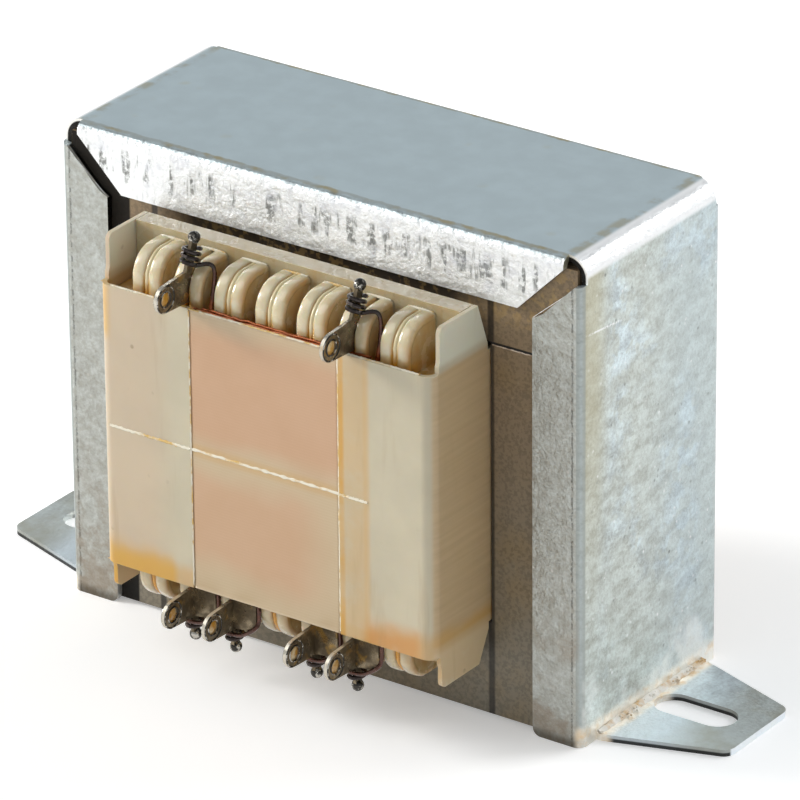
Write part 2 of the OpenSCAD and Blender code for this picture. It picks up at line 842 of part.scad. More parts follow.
clamp_frame();
e_laminations();
i_laminations();
bobbin();
left_cover();
right_cover();
primary_winding();
primary_wrap();
secondary_winding();
secondary_wrap();
tag_upper(0);  // tag_upper_1
tag_upper(1);  // tag_upper_2
tag_lower(0);  // tag_lower_1
tag_lower(1);  // tag_lower_2
tag_lower(2);  // tag_lower_3
tag_lower(3);  // tag_lower_4
lead_upper_1();
lead_upper_2();
lead_lower(0);  // lead_lower_1
lead_lower(1);  // lead_lower_2
lead_lower(2);  // lead_lower_3
lead_lower(3);  // lead_lower_4
solder_upper(0);  // solder_upper_1
solder_upper(1);  // solder_upper_2
solder_lower(0);  // solder_lower_1
solder_lower(1);  // solder_lower_2
solder_lower(2);  // solder_lower_3
solder_lower(3);  // solder_lower_4
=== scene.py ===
import math
from types import SimpleNamespace

import bpy
import numpy as np
from mathutils import Matrix, Vector


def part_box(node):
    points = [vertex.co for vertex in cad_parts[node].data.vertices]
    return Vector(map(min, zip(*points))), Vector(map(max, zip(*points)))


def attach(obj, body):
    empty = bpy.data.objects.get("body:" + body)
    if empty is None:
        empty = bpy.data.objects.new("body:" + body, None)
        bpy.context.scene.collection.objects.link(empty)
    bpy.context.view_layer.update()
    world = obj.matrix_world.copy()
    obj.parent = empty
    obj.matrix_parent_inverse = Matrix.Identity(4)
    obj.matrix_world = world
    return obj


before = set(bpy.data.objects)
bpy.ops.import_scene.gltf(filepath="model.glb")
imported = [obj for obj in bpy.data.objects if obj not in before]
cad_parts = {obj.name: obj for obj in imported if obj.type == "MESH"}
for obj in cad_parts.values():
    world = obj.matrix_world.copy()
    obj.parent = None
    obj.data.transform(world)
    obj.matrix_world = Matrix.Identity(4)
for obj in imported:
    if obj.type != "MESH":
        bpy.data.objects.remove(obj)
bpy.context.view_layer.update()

bl_info = {
    "name": "Chassis transformer looks",
    "version": (1, 0, 0),
    "blender": (4, 5, 0),
    "location": "3D View > Sidebar > Transformer",
    "description": "Finishes, varnish, wire strands and studio for a clamp frame transformer",
    "category": "Object",
}

MM = 0.001
X, Y, Z = (1, 0, 0), (0, 1, 0), (0, 0, 1)
HOLDERS = 7
UPPER_TAGS = ("tag_upper_1", "tag_upper_2")
LOWER_TAGS = ("tag_lower_1", "tag_lower_2", "tag_lower_3", "tag_lower_4")

# sizes of the model that no node's box gives, in millimetres
SHEET = 0.8  # thickness of the clamp frame
WALL_GAP = 0.3  # between the core and the frame's walls
TOP_BEND = 2.4  # outer radius of the bends between the top and the walls
SIDE_FLANGE = 6.3  # width of the frame's side flanges
PLATE_RISE = 6.5  # height of a terminal plate over its end flange
PLATE_DEPTH = 4.5  # from the core's face to a terminal plate's face
RIB_INSET = 0.8  # from an end flange's front edge to the ribs' fronts
TAPE_INSET = 0.12  # from the covers' faces to the closing tape
TAG_SHEET = 0.4  # thickness of a tag
SHEET_PITCH = 0.5  # thickness of one core sheet
WIRE = 0.5  # pitch of the turns


def shade(code):
    """Linear colour of a colour written as six hex digits."""
    parts = [int(code[i:i + 2], 16) / 255 for i in (0, 2, 4)]
    return tuple(c / 12.92 if c <= 0.04045 else ((c + 0.055) / 1.055) ** 2.4 for c in parts)


def box_mm(node):
    """Lowest and highest corner of a node in millimetres."""
    lo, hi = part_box(node)
    return np.array(lo) / MM, np.array(hi) / MM


# ---------- settings ----------

def length(name, text, default, low=0.0, high=100.0):
    return bpy.props.FloatProperty(name=name, description=text, default=default * MM,
                                   min=low * MM, max=high * MM, subtype="DISTANCE",
                                   unit="LENGTH", precision=5)


def colour(name, text, code):
    return bpy.props.FloatVectorProperty(name=name, description=text, default=shade(code),
                                         size=3, min=0.0, max=1.0, subtype="COLOR")


class TransformerSizes(bpy.types.PropertyGroup):
    """Sizes of the pieces that dress the transformer"""
    yoke: length("Yoke", "Height of the upper yoke, down to the joint of the sheets", 11)
    holder_pitch: length("Holder pitch", "Distance between two tag holders", 5.4)
    holder_slot: length("Holder slot", "Width of the slot in a tag holder", 0.5)
    rib_thickness: length("Rib", "Thickness of one rib of a tag holder", 1.6)
    rib_radius: length("Rib front", "Radius of the round front of a rib", 3.0)
    flange_to_rib: length("Rib centre", "Height of a rib's centre over the end flange", 2.4)
    cover_rim: length("Cover rim", "Height of a front wall over the end flange", 1.3)
    leg_height: length("Tag leg", "Height of a tag's leg where it leaves its holder", 3.6)
    eyelet_radius: length("Eyelet", "Radius of a tag's round end", 1.6)
    eyelet_hole: length("Eyelet hole", "Radius of the hole in a tag", 0.85)
    seam_width: length("Seam bead", "Half width of the varnish bead on the seam", 0.17)
    fillet: length("Varnish fillet", "Half width of the varnish along an edge", 0.2)
    strand_radius: length("Strand", "Radius of a copper strand in a notch", 0.17)
    rim_radius: length("Tinned rim", "Radius of the tinned rim round an eyelet", 0.1)


class TransformerColours(bpy.types.PropertyGroup):
    """Colours of the finishes"""
    zinc: colour("Zinc", "Galvanised sheet", "D2DEE1")
    zinc_top: colour("Zinc, matt", "Matt rolled face of the top", "C0CED3")
    zinc_stain: colour("Zinc stain", "Varnish stain on the sheet", "B9AC7C")
    steel: colour("Core steel", "Varnished face of the sheets", "8F7A5F")
    steel_low: colour("Core steel, low", "Greyer face near the feet", "888070")
    nylon: colour("Bobbin nylon", "Moulded bobbin", "CDC0A0")
    cover: colour("Cover nylon", "Moulded covers", "D0C5AA")
    cover_side: colour("Cover side", "Cover where copper lies behind it", "D2B589")
    amber: colour("Amber varnish", "Pooled impregnating varnish", "CE9638")
    film: colour("Film", "Tape round the windings", "CFA683")
    copper: colour("Copper", "Enamelled wire", "C06A38")
    tag: colour("Tag", "Tinned tag", "9C8F78")
    solder: colour("Solder", "Tin solder", "BDB9B0")
    floor: colour("Floor", "Plain pale floor", "FBFBFB")


class TransformerStudio(bpy.types.PropertyGroup):
    """Camera and lamps"""
    azimuth: bpy.props.FloatProperty(name="Azimuth", description="Camera's turn round the part",
                                     default=math.radians(35.4624), subtype="ANGLE")
    elevation: bpy.props.FloatProperty(name="Elevation", description="Camera's height angle",
                                       default=math.radians(25.2892), subtype="ANGLE")
    roll: bpy.props.FloatProperty(name="Roll", description="Camera's turn about its own line",
                                  default=math.radians(0.5583), subtype="ANGLE")
    distance: length("Distance", "From the camera to the middle of the part", 851.5, high=5000)
    lens: bpy.props.FloatProperty(name="Lens", description="Focal length in millimetres",
                                  default=352.53, min=20.0, max=1000.0)
    key: bpy.props.FloatProperty(name="Key lamp", description="Power of the lamp at the left",
                                 default=8.0, min=0.0, max=100.0, subtype="POWER", unit="POWER")
    front: bpy.props.FloatProperty(name="Front lamp", description="Power of the soft lamp ahead",
                                   default=2.0, min=0.0, max=100.0, subtype="POWER",
                                   unit="POWER")
    rim: bpy.props.FloatProperty(name="Rim lamp", description="Power of the lamp behind",
                                 default=4.6, min=0.0, max=100.0, subtype="POWER", unit="POWER")
    sky: bpy.props.FloatProperty(name="Sky", description="Strength of the even light",
                                 default=0.6, min=0.0, max=2.0)
    shift_across: bpy.props.FloatProperty(name="Shift across", default=0.01266, precision=5,
                                          description="Shift of the picture across, as a share")
    shift_up: bpy.props.FloatProperty(name="Shift up", default=-0.00985, precision=5,
                                      description="Shift of the picture upwards, as a share")


def settings():
    """The scene's sizes, colours and studio."""
    s = bpy.context.scene
    return s.transformer_sizes, s.transformer_colours, s.transformer_studio


# ---------- mesh helpers ----------

def unit(v):
    return v / np.maximum(np.linalg.norm(v, axis=-1, keepdims=True), 1e-12)


def waves(t, seed, rows=5):
    """Smooth random curve: the mean of a few sines of t whose pitches and phases are drawn once."""
    rng = np.random.default_rng(seed)
    k = rng.uniform(1.0, 9.0, rows)[:, None]
    phase = rng.uniform(0, 2 * np.pi, rows)[:, None]
    return np.sin(k * t[None, :] * 2 * np.pi + phase).mean(axis=0)


def grid_faces(rows, columns, wrap=True):
    """Quads between neighbouring rows of a grid; with wrap the last column meets the first."""
    i = np.arange(rows - 1)[:, None] * columns
    j = np.arange(columns if wrap else columns - 1)[None, :]
    k = (j + 1) % columns
    return np.stack([i + j, i + k, i + columns + k, i + columns + j], axis=-1).reshape(-1, 4)


def caps(rows, columns):
    """The first and the last row of a wrapped grid as the two end faces of a closed part."""
    return [list(range(columns)), list(range((rows - 1) * columns, rows * columns))[::-1]]


def bead(path, across, up, half_w, half_h, sides=10):
    """Closed bead along a path: round each point p an ellipse
    p + cos(a) * half_w * across + sin(a) * half_h * up, and a face at each end."""
    path = np.asarray(path, float)
    n = len(path)
    a = np.arange(sides) / sides * 2 * np.pi
    w = np.broadcast_to(half_w, n)[:, None, None]
    h = np.broadcast_to(half_h, n)[:, None, None]
    across = np.broadcast_to(across, (n, 3))[:, None, :]
    up = np.broadcast_to(up, (n, 3))[:, None, :]
    points = (path[:, None, :] + np.cos(a)[None, :, None] * w * across
              + np.sin(a)[None, :, None] * h * up)
    return points.reshape(-1, 3), grid_faces(n, sides).tolist() + caps(n, sides)


def strand(path, radius, sides=8):
    """Round wire along a path: a circle square to the path's direction at each of its points."""
    path = np.asarray(path, float)
    t = unit(np.gradient(path, axis=0))
    up = unit(np.cross(t, X))
    across = np.cross(up, t)
    return bead(path, across, up, radius, radius, sides)


def line(start, end, count):
    """Points evenly spaced from start to end."""
    u = np.linspace(0, 1, count)[:, None]
    return np.asarray(start, float) * (1 - u) + np.asarray(end, float) * u


def curve(points, count):
    """Points on a smooth curve through chosen points: each coordinate is a cubic blend
    of four neighbours, in the manner of Catmull and Rom."""
    p = np.asarray(points, float)
    p = np.vstack([2 * p[0] - p[1], p, 2 * p[-1] - p[-2]])
    s = np.linspace(0, len(p) - 3 - 1e-9, count)
    i = s.astype(int)
    u = (s - i)[:, None]
    a, b, c, d = p[i], p[i + 1], p[i + 2], p[i + 3]
    return 0.5 * (2 * b + (c - a) * u + (2 * a - 5 * b + 4 * c - d) * u ** 2
                  + (3 * b - a - 3 * c + d) * u ** 3)


def ring(centre, axis, side, radius, tube, around=36, sides=8):
    """Torus: a circle of the given radius about the axis, thickened to a round tube."""
    centre, axis, side = (np.asarray(v, float) for v in (centre, axis, side))
    other = np.cross(axis, side)
    a = np.arange(around + 1) / around * 2 * np.pi
    b = np.arange(sides) / sides * 2 * np.pi
    out = np.cos(a)[:, None] * side + np.sin(a)[:, None] * other
    points = (centre + (radius + tube * np.cos(b)[None, :, None]) * out[:, None, :]
              + tube * np.sin(b)[None, :, None] * axis)[:-1]
    n = around
    faces = grid_faces(n + 1, sides)
    faces = np.where(faces >= n * sides, faces - n * sides, faces)
    return points.reshape(-1, 3), faces.tolist()


def drop(centre, radii, seed, rows=9, sides=14):
    """Drop: a sphere with radii along x, y and z, each point moved in or out by smooth waves."""
    v = (np.arange(rows) + 1) / (rows + 1) * np.pi
    a = np.arange(sides) / sides * 2 * np.pi
    bump = 1 + 0.12 * waves(a / (2 * np.pi), seed)[None, :] * np.sin(v)[:, None]
    x = np.sin(v)[:, None] * np.cos(a)[None, :] * bump
    y = np.sin(v)[:, None] * np.sin(a)[None, :] * bump
    z = np.cos(v)[:, None] * np.ones_like(a)[None, :]
    body = np.stack([x, y, z], axis=-1).reshape(-1, 3)
    points = np.vstack([body, [0, 0, 1], [0, 0, -1]]) * np.asarray(radii) + np.asarray(centre)
    faces = grid_faces(rows, sides).tolist()
    j = np.arange(sides)
    k = (j + 1) % sides
    top, low = rows * sides, rows * sides + 1
    faces += np.stack([np.full(sides, top), k, j], axis=-1).tolist()
    base = (rows - 1) * sides
    faces += np.stack([np.full(sides, low), base + j, base + k], axis=-1).tolist()
    return points, faces


def volume(points, faces):
    """Signed volume of a closed mesh: a fan of triangles of each face with the origin."""
    total = 0.0
    for size in {len(f) for f in faces}:
        f = np.array([g for g in faces if len(g) == size])
        for i in range(1, size - 1):
            a, b, c = points[f[:, 0]], points[f[:, i]], points[f[:, i + 1]]
            total += np.einsum("ij,ij->i", a, np.cross(b, c)).sum() / 6
    return total


def piece(name, parts, material):
    """One object from closed parts given in millimetres, with every part facing outwards."""
    points, faces, start = [], [], 0
    for p, f in parts:
        if volume(p - p.mean(axis=0), f) < 0:
            f = [g[::-1] for g in f]
        points.append(p)
        faces += [[i + start for i in g] for g in f]
        start += len(p)
    mesh = bpy.data.meshes.new(name)
    mesh.from_pydata((np.vstack(points) * MM).tolist(), [], faces)
    mesh.polygons.foreach_set("use_smooth", np.ones(len(mesh.polygons), bool))
    mesh.update()
    mesh.materials.append(material)
    obj = bpy.data.objects.new(name, mesh)
    bpy.context.scene.collection.objects.link(obj)
    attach(obj, "root")
    return obj


# ---------- node helpers ----------

class Bench:
    """Adds nodes to a tree; a value given to a socket is a constant or another node's output."""

    def __init__(self, tree):
        self.tree = tree
        tree.nodes.clear()

    def node(self, kind, sockets=None, **settings):
        n = self.tree.nodes.new(kind)
        for key, value in settings.items():
            setattr(n, key, value)
        for key, value in (sockets or {}).items():
            self.put(n.inputs[key], value)
        return n

    def put(self, socket, value):
        if isinstance(value, bpy.types.NodeSocket):
            self.tree.links.new(value, socket)
        elif socket.type == "RGBA":
            socket.default_value = tuple(value)[:3] + (1.0,)
        else:
            socket.default_value = value

    def math(self, operation, a, b=0.0, clamp=False):
        n = self.node("ShaderNodeMath", {0: a, 1: b}, operation=operation, use_clamp=clamp)
        return n.outputs[0]

    def times(self, first, *others):
        """Product of all the values."""
        for value in others:
            first = self.math("MULTIPLY", first, value)
        return first

    def plus(self, a, b, clamp=False):
        return self.math("ADD", a, b, clamp)

    def most(self, a, b):
        return self.math("MAXIMUM", a, b)

    def rest(self, value):
        """What a value leaves of 1."""
        return self.math("SUBTRACT", 1.0, value)

    def size(self, value):
        return self.math("ABSOLUTE", value)

    def step(self, value, low, high):
        """0 below low, 1 above high, and a smooth rise between."""
        n = self.node("ShaderNodeMapRange", {0: value, 1: low, 2: high, 3: 0.0, 4: 1.0},
                      interpolation_type="SMOOTHSTEP")
        return n.outputs[0]

    def mix(self, factor, a, b):
        n = self.node("ShaderNodeMix", {0: factor, 6: a, 7: b}, data_type="RGBA")
        return n.outputs[2]

    def paint(self, base, colour, *masks):
        """The base with a colour laid over it by the product of the masks."""
        if isinstance(colour, str):
            colour = shade(colour)
        return self.mix(self.times(*masks), base, colour)

    def value(self, factor, a, b):
        n = self.node("ShaderNodeMix", {0: factor, 2: a, 3: b}, data_type="FLOAT")
        return n.outputs[0]

    def noise(self, vector, scale, detail=3.0, rough=0.55):
        n = self.node("ShaderNodeTexNoise", {"Vector": vector, "Scale": scale,
                                             "Detail": detail, "Roughness": rough})
        return n.outputs["Fac"]

    def use(self, group, **sockets):
        n = self.node("ShaderNodeGroup", node_tree=group)
        for key, value in sockets.items():
            self.put(n.inputs[key.replace("_", " ")], value)
        return n.outputs[0]

    def band(self, value, centre, half_width, soft):
        return self.use(band_group(), Value=value, Centre=centre, Half_width=half_width,
                        Soft=soft)

    def patches(self, place, scale, low, high):
        return self.use(patch_group(), Place=place, Scale=scale, Low=low, High=high)

    def specks(self, place, scale, size, low):
        return self.use(speckle_group(), Place=place, Scale=scale, Size=size, Low=low)

    def streaks(self, place, scale, squeeze, low, high):
        return self.use(streak_group(), Place=place, Scale=scale, Squeeze=squeeze, Low=low,
                        High=high)


def group(name, inputs, output, fill):
    """Shader node group with named inputs and one output that varies over the surface."""
    tree = bpy.data.node_groups.get(name)
    if tree:
        return tree
    tree = bpy.data.node_groups.new(name, "ShaderNodeTree")
    bench = Bench(tree)
    for label, kind, default in inputs:
        s = tree.interface.new_socket(label, in_out="INPUT", socket_type=kind)
        if default is not None:
            s.default_value = default
    tree.interface.new_socket(output, in_out="OUTPUT", socket_type="NodeSocketFloat")
    source = bench.node("NodeGroupInput")
    sink = bench.node("NodeGroupOutput")
    bench.put(sink.inputs[0], fill(bench, source.outputs))
    return tree


NUMBER, PLACE = "NodeSocketFloat", "NodeSocketVector"


def band_group():
    """1 within a half width of a centre, falling smoothly to 0 over a soft edge."""
    def fill(b, i):
        away = b.size(b.math("SUBTRACT", i["Value"], i["Centre"]))
        return b.rest(b.step(away, i["Half width"], b.plus(i["Half width"], i["Soft"])))
    return group("band", [("Value", NUMBER, 0.0), ("Centre", NUMBER, 0.0),
                          ("Half width", NUMBER, 1.0), ("Soft", NUMBER, 0.2)], "Mask", fill)


def patch_group():
    """Soft patches: noise raised from 0 to 1 between two levels."""
    def fill(b, i):
        return b.step(b.noise(i["Place"], i["Scale"], 4.0), i["Low"], i["High"])
    return group("patches", [("Place", PLACE, None), ("Scale", NUMBER, 1.0),
                             ("Low", NUMBER, 0.45), ("High", NUMBER, 0.6)], "Mask", fill)


def speckle_group():
    """Small specks: the near parts of scattered cells, kept where a second noise is high."""
    def fill(b, i):
        cells = b.node("ShaderNodeTexVoronoi", {"Vector": i["Place"], "Scale": i["Scale"]})
        dots = b.rest(b.step(cells.outputs["Distance"], 0.08, i["Size"]))
        return b.times(dots, b.step(b.noise(i["Place"], i["Scale"], 2.0), i["Low"], 0.75))
    return group("specks", [("Place", PLACE, None), ("Scale", NUMBER, 1.0),
                            ("Size", NUMBER, 0.35), ("Low", NUMBER, 0.5)], "Mask", fill)


def streak_group():
    """Scuffs drawn out along z: noise on a place squeezed along z, raised between two levels."""
    def fill(b, i):
        s = b.node("ShaderNodeSeparateXYZ", {0: i["Place"]})
        c = b.node("ShaderNodeCombineXYZ", {0: s.outputs[0], 1: s.outputs[1],
                                            2: b.times(s.outputs[2], i["Squeeze"])})
        return b.step(b.noise(c.outputs[0], i["Scale"], 3.0, 0.6), i["Low"], i["High"])
    return group("streaks", [("Place", PLACE, None), ("Scale", NUMBER, 1.0),
                             ("Squeeze", NUMBER, 0.2), ("Low", NUMBER, 0.55),
                             ("High", NUMBER, 0.68)], "Mask", fill)


def spangle_group():
    """Zinc crystals: each cell of a warped cell pattern has its own grey."""
    def fill(b, i):
        warp = b.noise(i["Place"], b.times(i["Scale"], 2.2), 2.0)
        moved = b.node("ShaderNodeVectorMath", {0: i["Place"], 1: warp}, operation="ADD")
        cells = b.node("ShaderNodeTexVoronoi", {"Vector": moved.outputs[0],
                                                "Scale": i["Scale"]})
        grey = b.node("ShaderNodeSeparateColor", {0: cells.outputs["Color"]})
        return grey.outputs[0]
    return group("spangle", [("Place", PLACE, None), ("Scale", NUMBER, 0.3)], "Grey", fill)


class Finish:
    """A material with its place in millimetres and its shader; close() joins them."""

    def __init__(self, name, **constants):
        self.material = bpy.data.materials.new(name)
        self.material.use_nodes = True
        self.b = Bench(self.material.node_tree)
        self.out = self.b.node("ShaderNodeOutputMaterial")
        self.shader = self.b.node("ShaderNodeBsdfPrincipled", constants)
        where = self.b.node("ShaderNodeTexCoord")
        self.normal = self.b.node("ShaderNodeSeparateXYZ", {0: where.outputs["Normal"]}).outputs
        scaled = self.b.node("ShaderNodeVectorMath", {0: where.outputs["Object"], "Scale": 1 / MM},
                             operation="SCALE")
        self.place = scaled.outputs[0]
        self.xyz = self.b.node("ShaderNodeSeparateXYZ", {0: self.place}).outputs

    def moved(self, x=0.0, y=0.0, z=0.0):
        """The place shifted, so that two patterns on one piece differ."""
        n = self.b.node("ShaderNodeVectorMath", {0: self.place, 1: (x, y, z)}, operation="ADD")
        return n.outputs[0]

    def close(self, base, roughness, height, distance, strength):
        """Joins the colour, the roughness and a relief whose distance is in millimetres."""
        b = self.b
        b.put(self.shader.inputs["Base Color"], base)
        b.put(self.shader.inputs["Roughness"], roughness)
        bump = b.node("ShaderNodeBump", {"Height": height, "Distance": distance * MM,
                                         "Strength": strength})
        b.put(self.shader.inputs["Normal"], bump.outputs[0])
        b.put(self.out.inputs["Surface"], self.shader.outputs[0])
        return self.material


def dress(material, *nodes):
    """Gives carried-over solids a material."""
    for name in nodes:
        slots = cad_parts[name].material_slots
        if not slots:
            raise RuntimeError(f"{name} has no material slot")
        for s in slots:
            s.link = "OBJECT"
            s.material = material


# ---------- places, in millimetres ----------

def frame_wall():
    """X of the outer face of the clamp frame's right wall."""
    return box_mm("e_laminations")[1][0] + WALL_GAP + SHEET


def joint_height(sizes):
    """Height of the joint between the E and I sheets."""
    return box_mm("e_laminations")[1][2] - sizes.yoke / MM


def holder_places(sizes):
    """X of the middle of each tag holder, left to right."""
    pitch = sizes.holder_pitch / MM
    return (np.arange(HOLDERS) - (HOLDERS - 1) / 2) * pitch


def end_flanges():
    """Heights of the outer faces of the upper and lower end flange, and of their middle."""
    middle = (box_mm("primary_wrap")[0][2] + box_mm("secondary_wrap")[1][2]) / 2
    half = box_mm("bobbin")[1][2] - middle - PLATE_RISE
    return middle + half, middle - half, middle


def cover_lips():
    """X of the lips of the left and the right cover."""
    return box_mm("left_cover")[1][0], box_mm("right_cover")[0][0]


def plate_face():
    """Y of the front of the terminal plates."""
    return box_mm("e_laminations")[0][1] - PLATE_DEPTH


def tag_holder(name, sizes):
    """Number of the holder that a tag stands in: its leg is at the left end of its box."""
    leg = box_mm(name)[0][0] + TAG_SHEET / 2
    return int(np.abs(holder_places(sizes) - leg).argmin())


# ---------- finishes ----------

def sheet_masks(f):
    """Masks and places of the clamp frame that its finish asks for more than once."""
    b, (x, y, _), (nx, ny, nz) = f.b, f.xyz, f.normal
    end, face, top = box_mm("clamp_frame")[1]
    return SimpleNamespace(
        ax=b.size(x), ay=b.size(y), up=b.step(nz, 0.75, 0.97), side=b.step(b.size(nx), 0.7, 0.95),
        front=b.step(b.size(ny), 0.7, 0.95), wall=frame_wall(), end=end, face=face, top=top)


def zinc_walls(f, m, c):
    """Walls: dimples drawn out on a slant, crystals and fine grain, with a stain near the
    front edge, painted glints (white specks as painted highlights), pits and one long scratch.
    Gives the colour, the tone and the relief."""
    b, (_, y, z) = f.b, f.xyz
    slant = b.node("ShaderNodeMapping", {"Vector": f.place, "Rotation": (0.9, 0.0, 0.0),
                                         "Scale": (1.0, 0.45, 1.0)})
    dimple = b.noise(slant.outputs[0], 0.8, 2.5, 0.55)
    crystals = b.use(spangle_group(), Place=f.place, Scale=0.8)
    grain = b.noise(f.moved(3, 1, 7), 2.6, 3.0, 0.65)
    tone = b.value(0.4, b.step(dimple, 0.36, 0.64), crystals)
    tone = b.value(0.35, tone, b.step(grain, 0.36, 0.64))
    base = b.mix(tone, tuple(v * 0.5 for v in c.zinc), tuple(min(v * 1.33, 1) for v in c.zinc))

    cloud = b.patches(f.moved(4, 9, 2), 0.09, 0.42, 0.6)
    near = b.times(b.rest(b.step(b.plus(y, m.face), 2.0, 7.0)),
                   b.value(b.step(z, 8.0, 46.0), 0.5, 1.1))
    khaki = b.times(b.most(b.times(cloud, 0.5), near), m.side)
    cast = b.patches(f.moved(9, 9, 4), 0.35, 0.46, 0.58)
    khaki = b.most(khaki, b.times(cast, m.side, 0.45))
    base = b.paint(base, c.zinc_stain, khaki, 0.58)
    base = b.paint(base, "B4C8D2", m.side, b.step(y, -4.0, 8.0), 0.35)
    # painted highlights: white specks that stand in for glints of light on the zinc
    base = b.paint(base, "FFFFFF", b.specks(f.moved(2, 8, 6), 1.0, 0.26, 0.46), 0.8)
    scratch = b.times(b.band(b.plus(z, b.times(y, 0.09)), m.top - 9.8, 0.05, 0.12), m.side,
                      b.band(y, -9.0, 1.6, 2.6), b.step(grain, 0.36, 0.52))
    base = b.paint(base, "FFFFFF", scratch, 0.8)
    base = b.paint(base, "4E544E", b.specks(f.moved(6, 2, 4), 0.8, 0.24, 0.46), 0.75)
    relief = b.plus(b.times(dimple, 1.3), b.times(grain, 0.6))
    return base, tone, relief


def zinc_top(f, m, c, base):
    """Top: matt with a few faint spots, and a broken brown line where it starts to bend.
    Gives the colour and the mask of the matt face."""
    b, z = f.b, f.xyz[2]
    matt = b.mix(b.patches(f.place, 0.3, 0.3, 0.75), tuple(v * 0.97 for v in c.zinc_top),
                 tuple(v * 1.04 for v in c.zinc_top))
    matt = b.paint(matt, c.zinc_stain, b.specks(f.moved(1, 6, 2), 0.3, 0.3, 0.5), 0.22)
    on_top = b.times(m.up, b.step(z, m.top - 4, m.top - 1))
    base = b.mix(on_top, base, matt)

    wander = b.times(b.noise(f.moved(8, 0, 0), 0.8, 3.0), 0.7)
    brim = b.band(b.plus(m.ay, wander), m.face - 0.55, 0.1, 0.34)
    ends = b.band(m.ax, m.wall - 2.3, 0.3, 0.8)
    broken = b.patches(f.moved(2, 5, 8), 0.34, 0.42, 0.62)
    edge = b.most(b.times(brim, b.value(broken, 0.5, 0.95)), b.times(ends, broken, 0.6))
    edge = b.times(edge, b.step(z, m.top - 1.2, m.top - 0.5), 0.75)
    return b.mix(edge, base, b.mix(broken, shade("8B8573"), shade("A3915A"))), on_top


def zinc_top_flange(f, m, base, tone):
    """Top flanges: painted near-white as a painted reflection, with upright scuffs in a wavering
    band and faint ones below.
    Gives the colour, the flange's mask and the mask of the scuffs."""
    b, z = f.b, f.xyz[2]
    corner = box_mm("e_laminations")[1][2] - m.wall + 0.8
    flange = b.times(b.step(m.ay, m.face - 0.4, m.face - 0.1),
                     b.step(b.math("SUBTRACT", z, m.ax), corner - 0.1, corner + 0.1), m.front)
    # painted reflection: the front flange's colour is raised to near white so it looks brightly lit
    base = b.paint(base, "FFFFFE", flange, b.value(tone, 0.8, 1.0))
    wander = b.times(b.noise(f.moved(0, 0, 50), 0.5, 2.0), 2.4)
    high = b.times(flange, b.band(b.plus(z, wander), m.top - 2.4, 1.1, 0.9))
    scuff = b.times(b.streaks(f.place, 1.1, 0.14, 0.48, 0.62),
                    b.step(b.noise(f.moved(5, 5, 5), 1.2, 4.0, 0.65), 0.38, 0.56))
    faint = b.streaks(f.moved(11, 0, 4), 0.9, 0.18, 0.48, 0.72)
    dark = b.plus(b.times(scuff, high, 0.8), b.times(faint, flange, 0.16), clamp=True)
    base = b.paint(base, "6E706B", dark)
    tints = b.step(b.noise(f.moved(1, 7, 3), 0.45, 2.0), 0.5, 0.7)
    return b.paint(base, "C9CBD6", flange, tints, 0.3), flange, dark


def zinc_side_flange(f, m, base, flange):
    """Side flanges: mottled, with a painted shade line in the crease beside the bend, painted grey
    shade on the bend itself, brown at their lower ends.
    """
    b, z, (nx, _, nz) = f.b, f.xyz[2], f.normal
    fine = b.noise(f.moved(1, 3, 6), 1.7, 4.0, 0.7)
    upright = b.times(m.front, b.step(m.ax, m.wall - 7.4, m.wall - 6.6), b.rest(flange))
    base = b.paint(base, "84847A", b.rest(b.step(fine, 0.34, 0.6)), upright, 0.45)
    base = b.paint(base, "A8A294", upright, 0.6)
    # painted shade: a dark line along the crease beside the bend
    crease = b.band(b.plus(m.ax, b.times(fine, 0.5)), m.wall - 0.95, 0.04, 0.16)
    base = b.paint(base, "44443E", crease, upright, b.step(fine, 0.42, 0.55), 0.6)
    # painted shade: the bend between flange and wall, picked by its slanted normal, is greyed
    base = b.paint(base, "9AA09C", b.band(b.size(nx), 0.62, 0.3, 0.06),
                   b.step(m.ay, m.face - 1.4, m.face - 1.1), b.rest(b.step(b.size(nz), 0.1, 0.3)),
                   0.75)
    base = b.paint(base, "8A7358", b.rest(b.step(z, 2.0, 22.0)), upright,
                   b.patches(f.moved(7, 2, 2), 0.3, 0.4, 0.64), 0.5)
    return b.paint(base, "4A3E2C", b.rest(b.step(z, 0.3, 1.6)),
                   b.rest(b.step(m.ax, m.wall - 0.2, m.wall + 0.2)), 0.75)


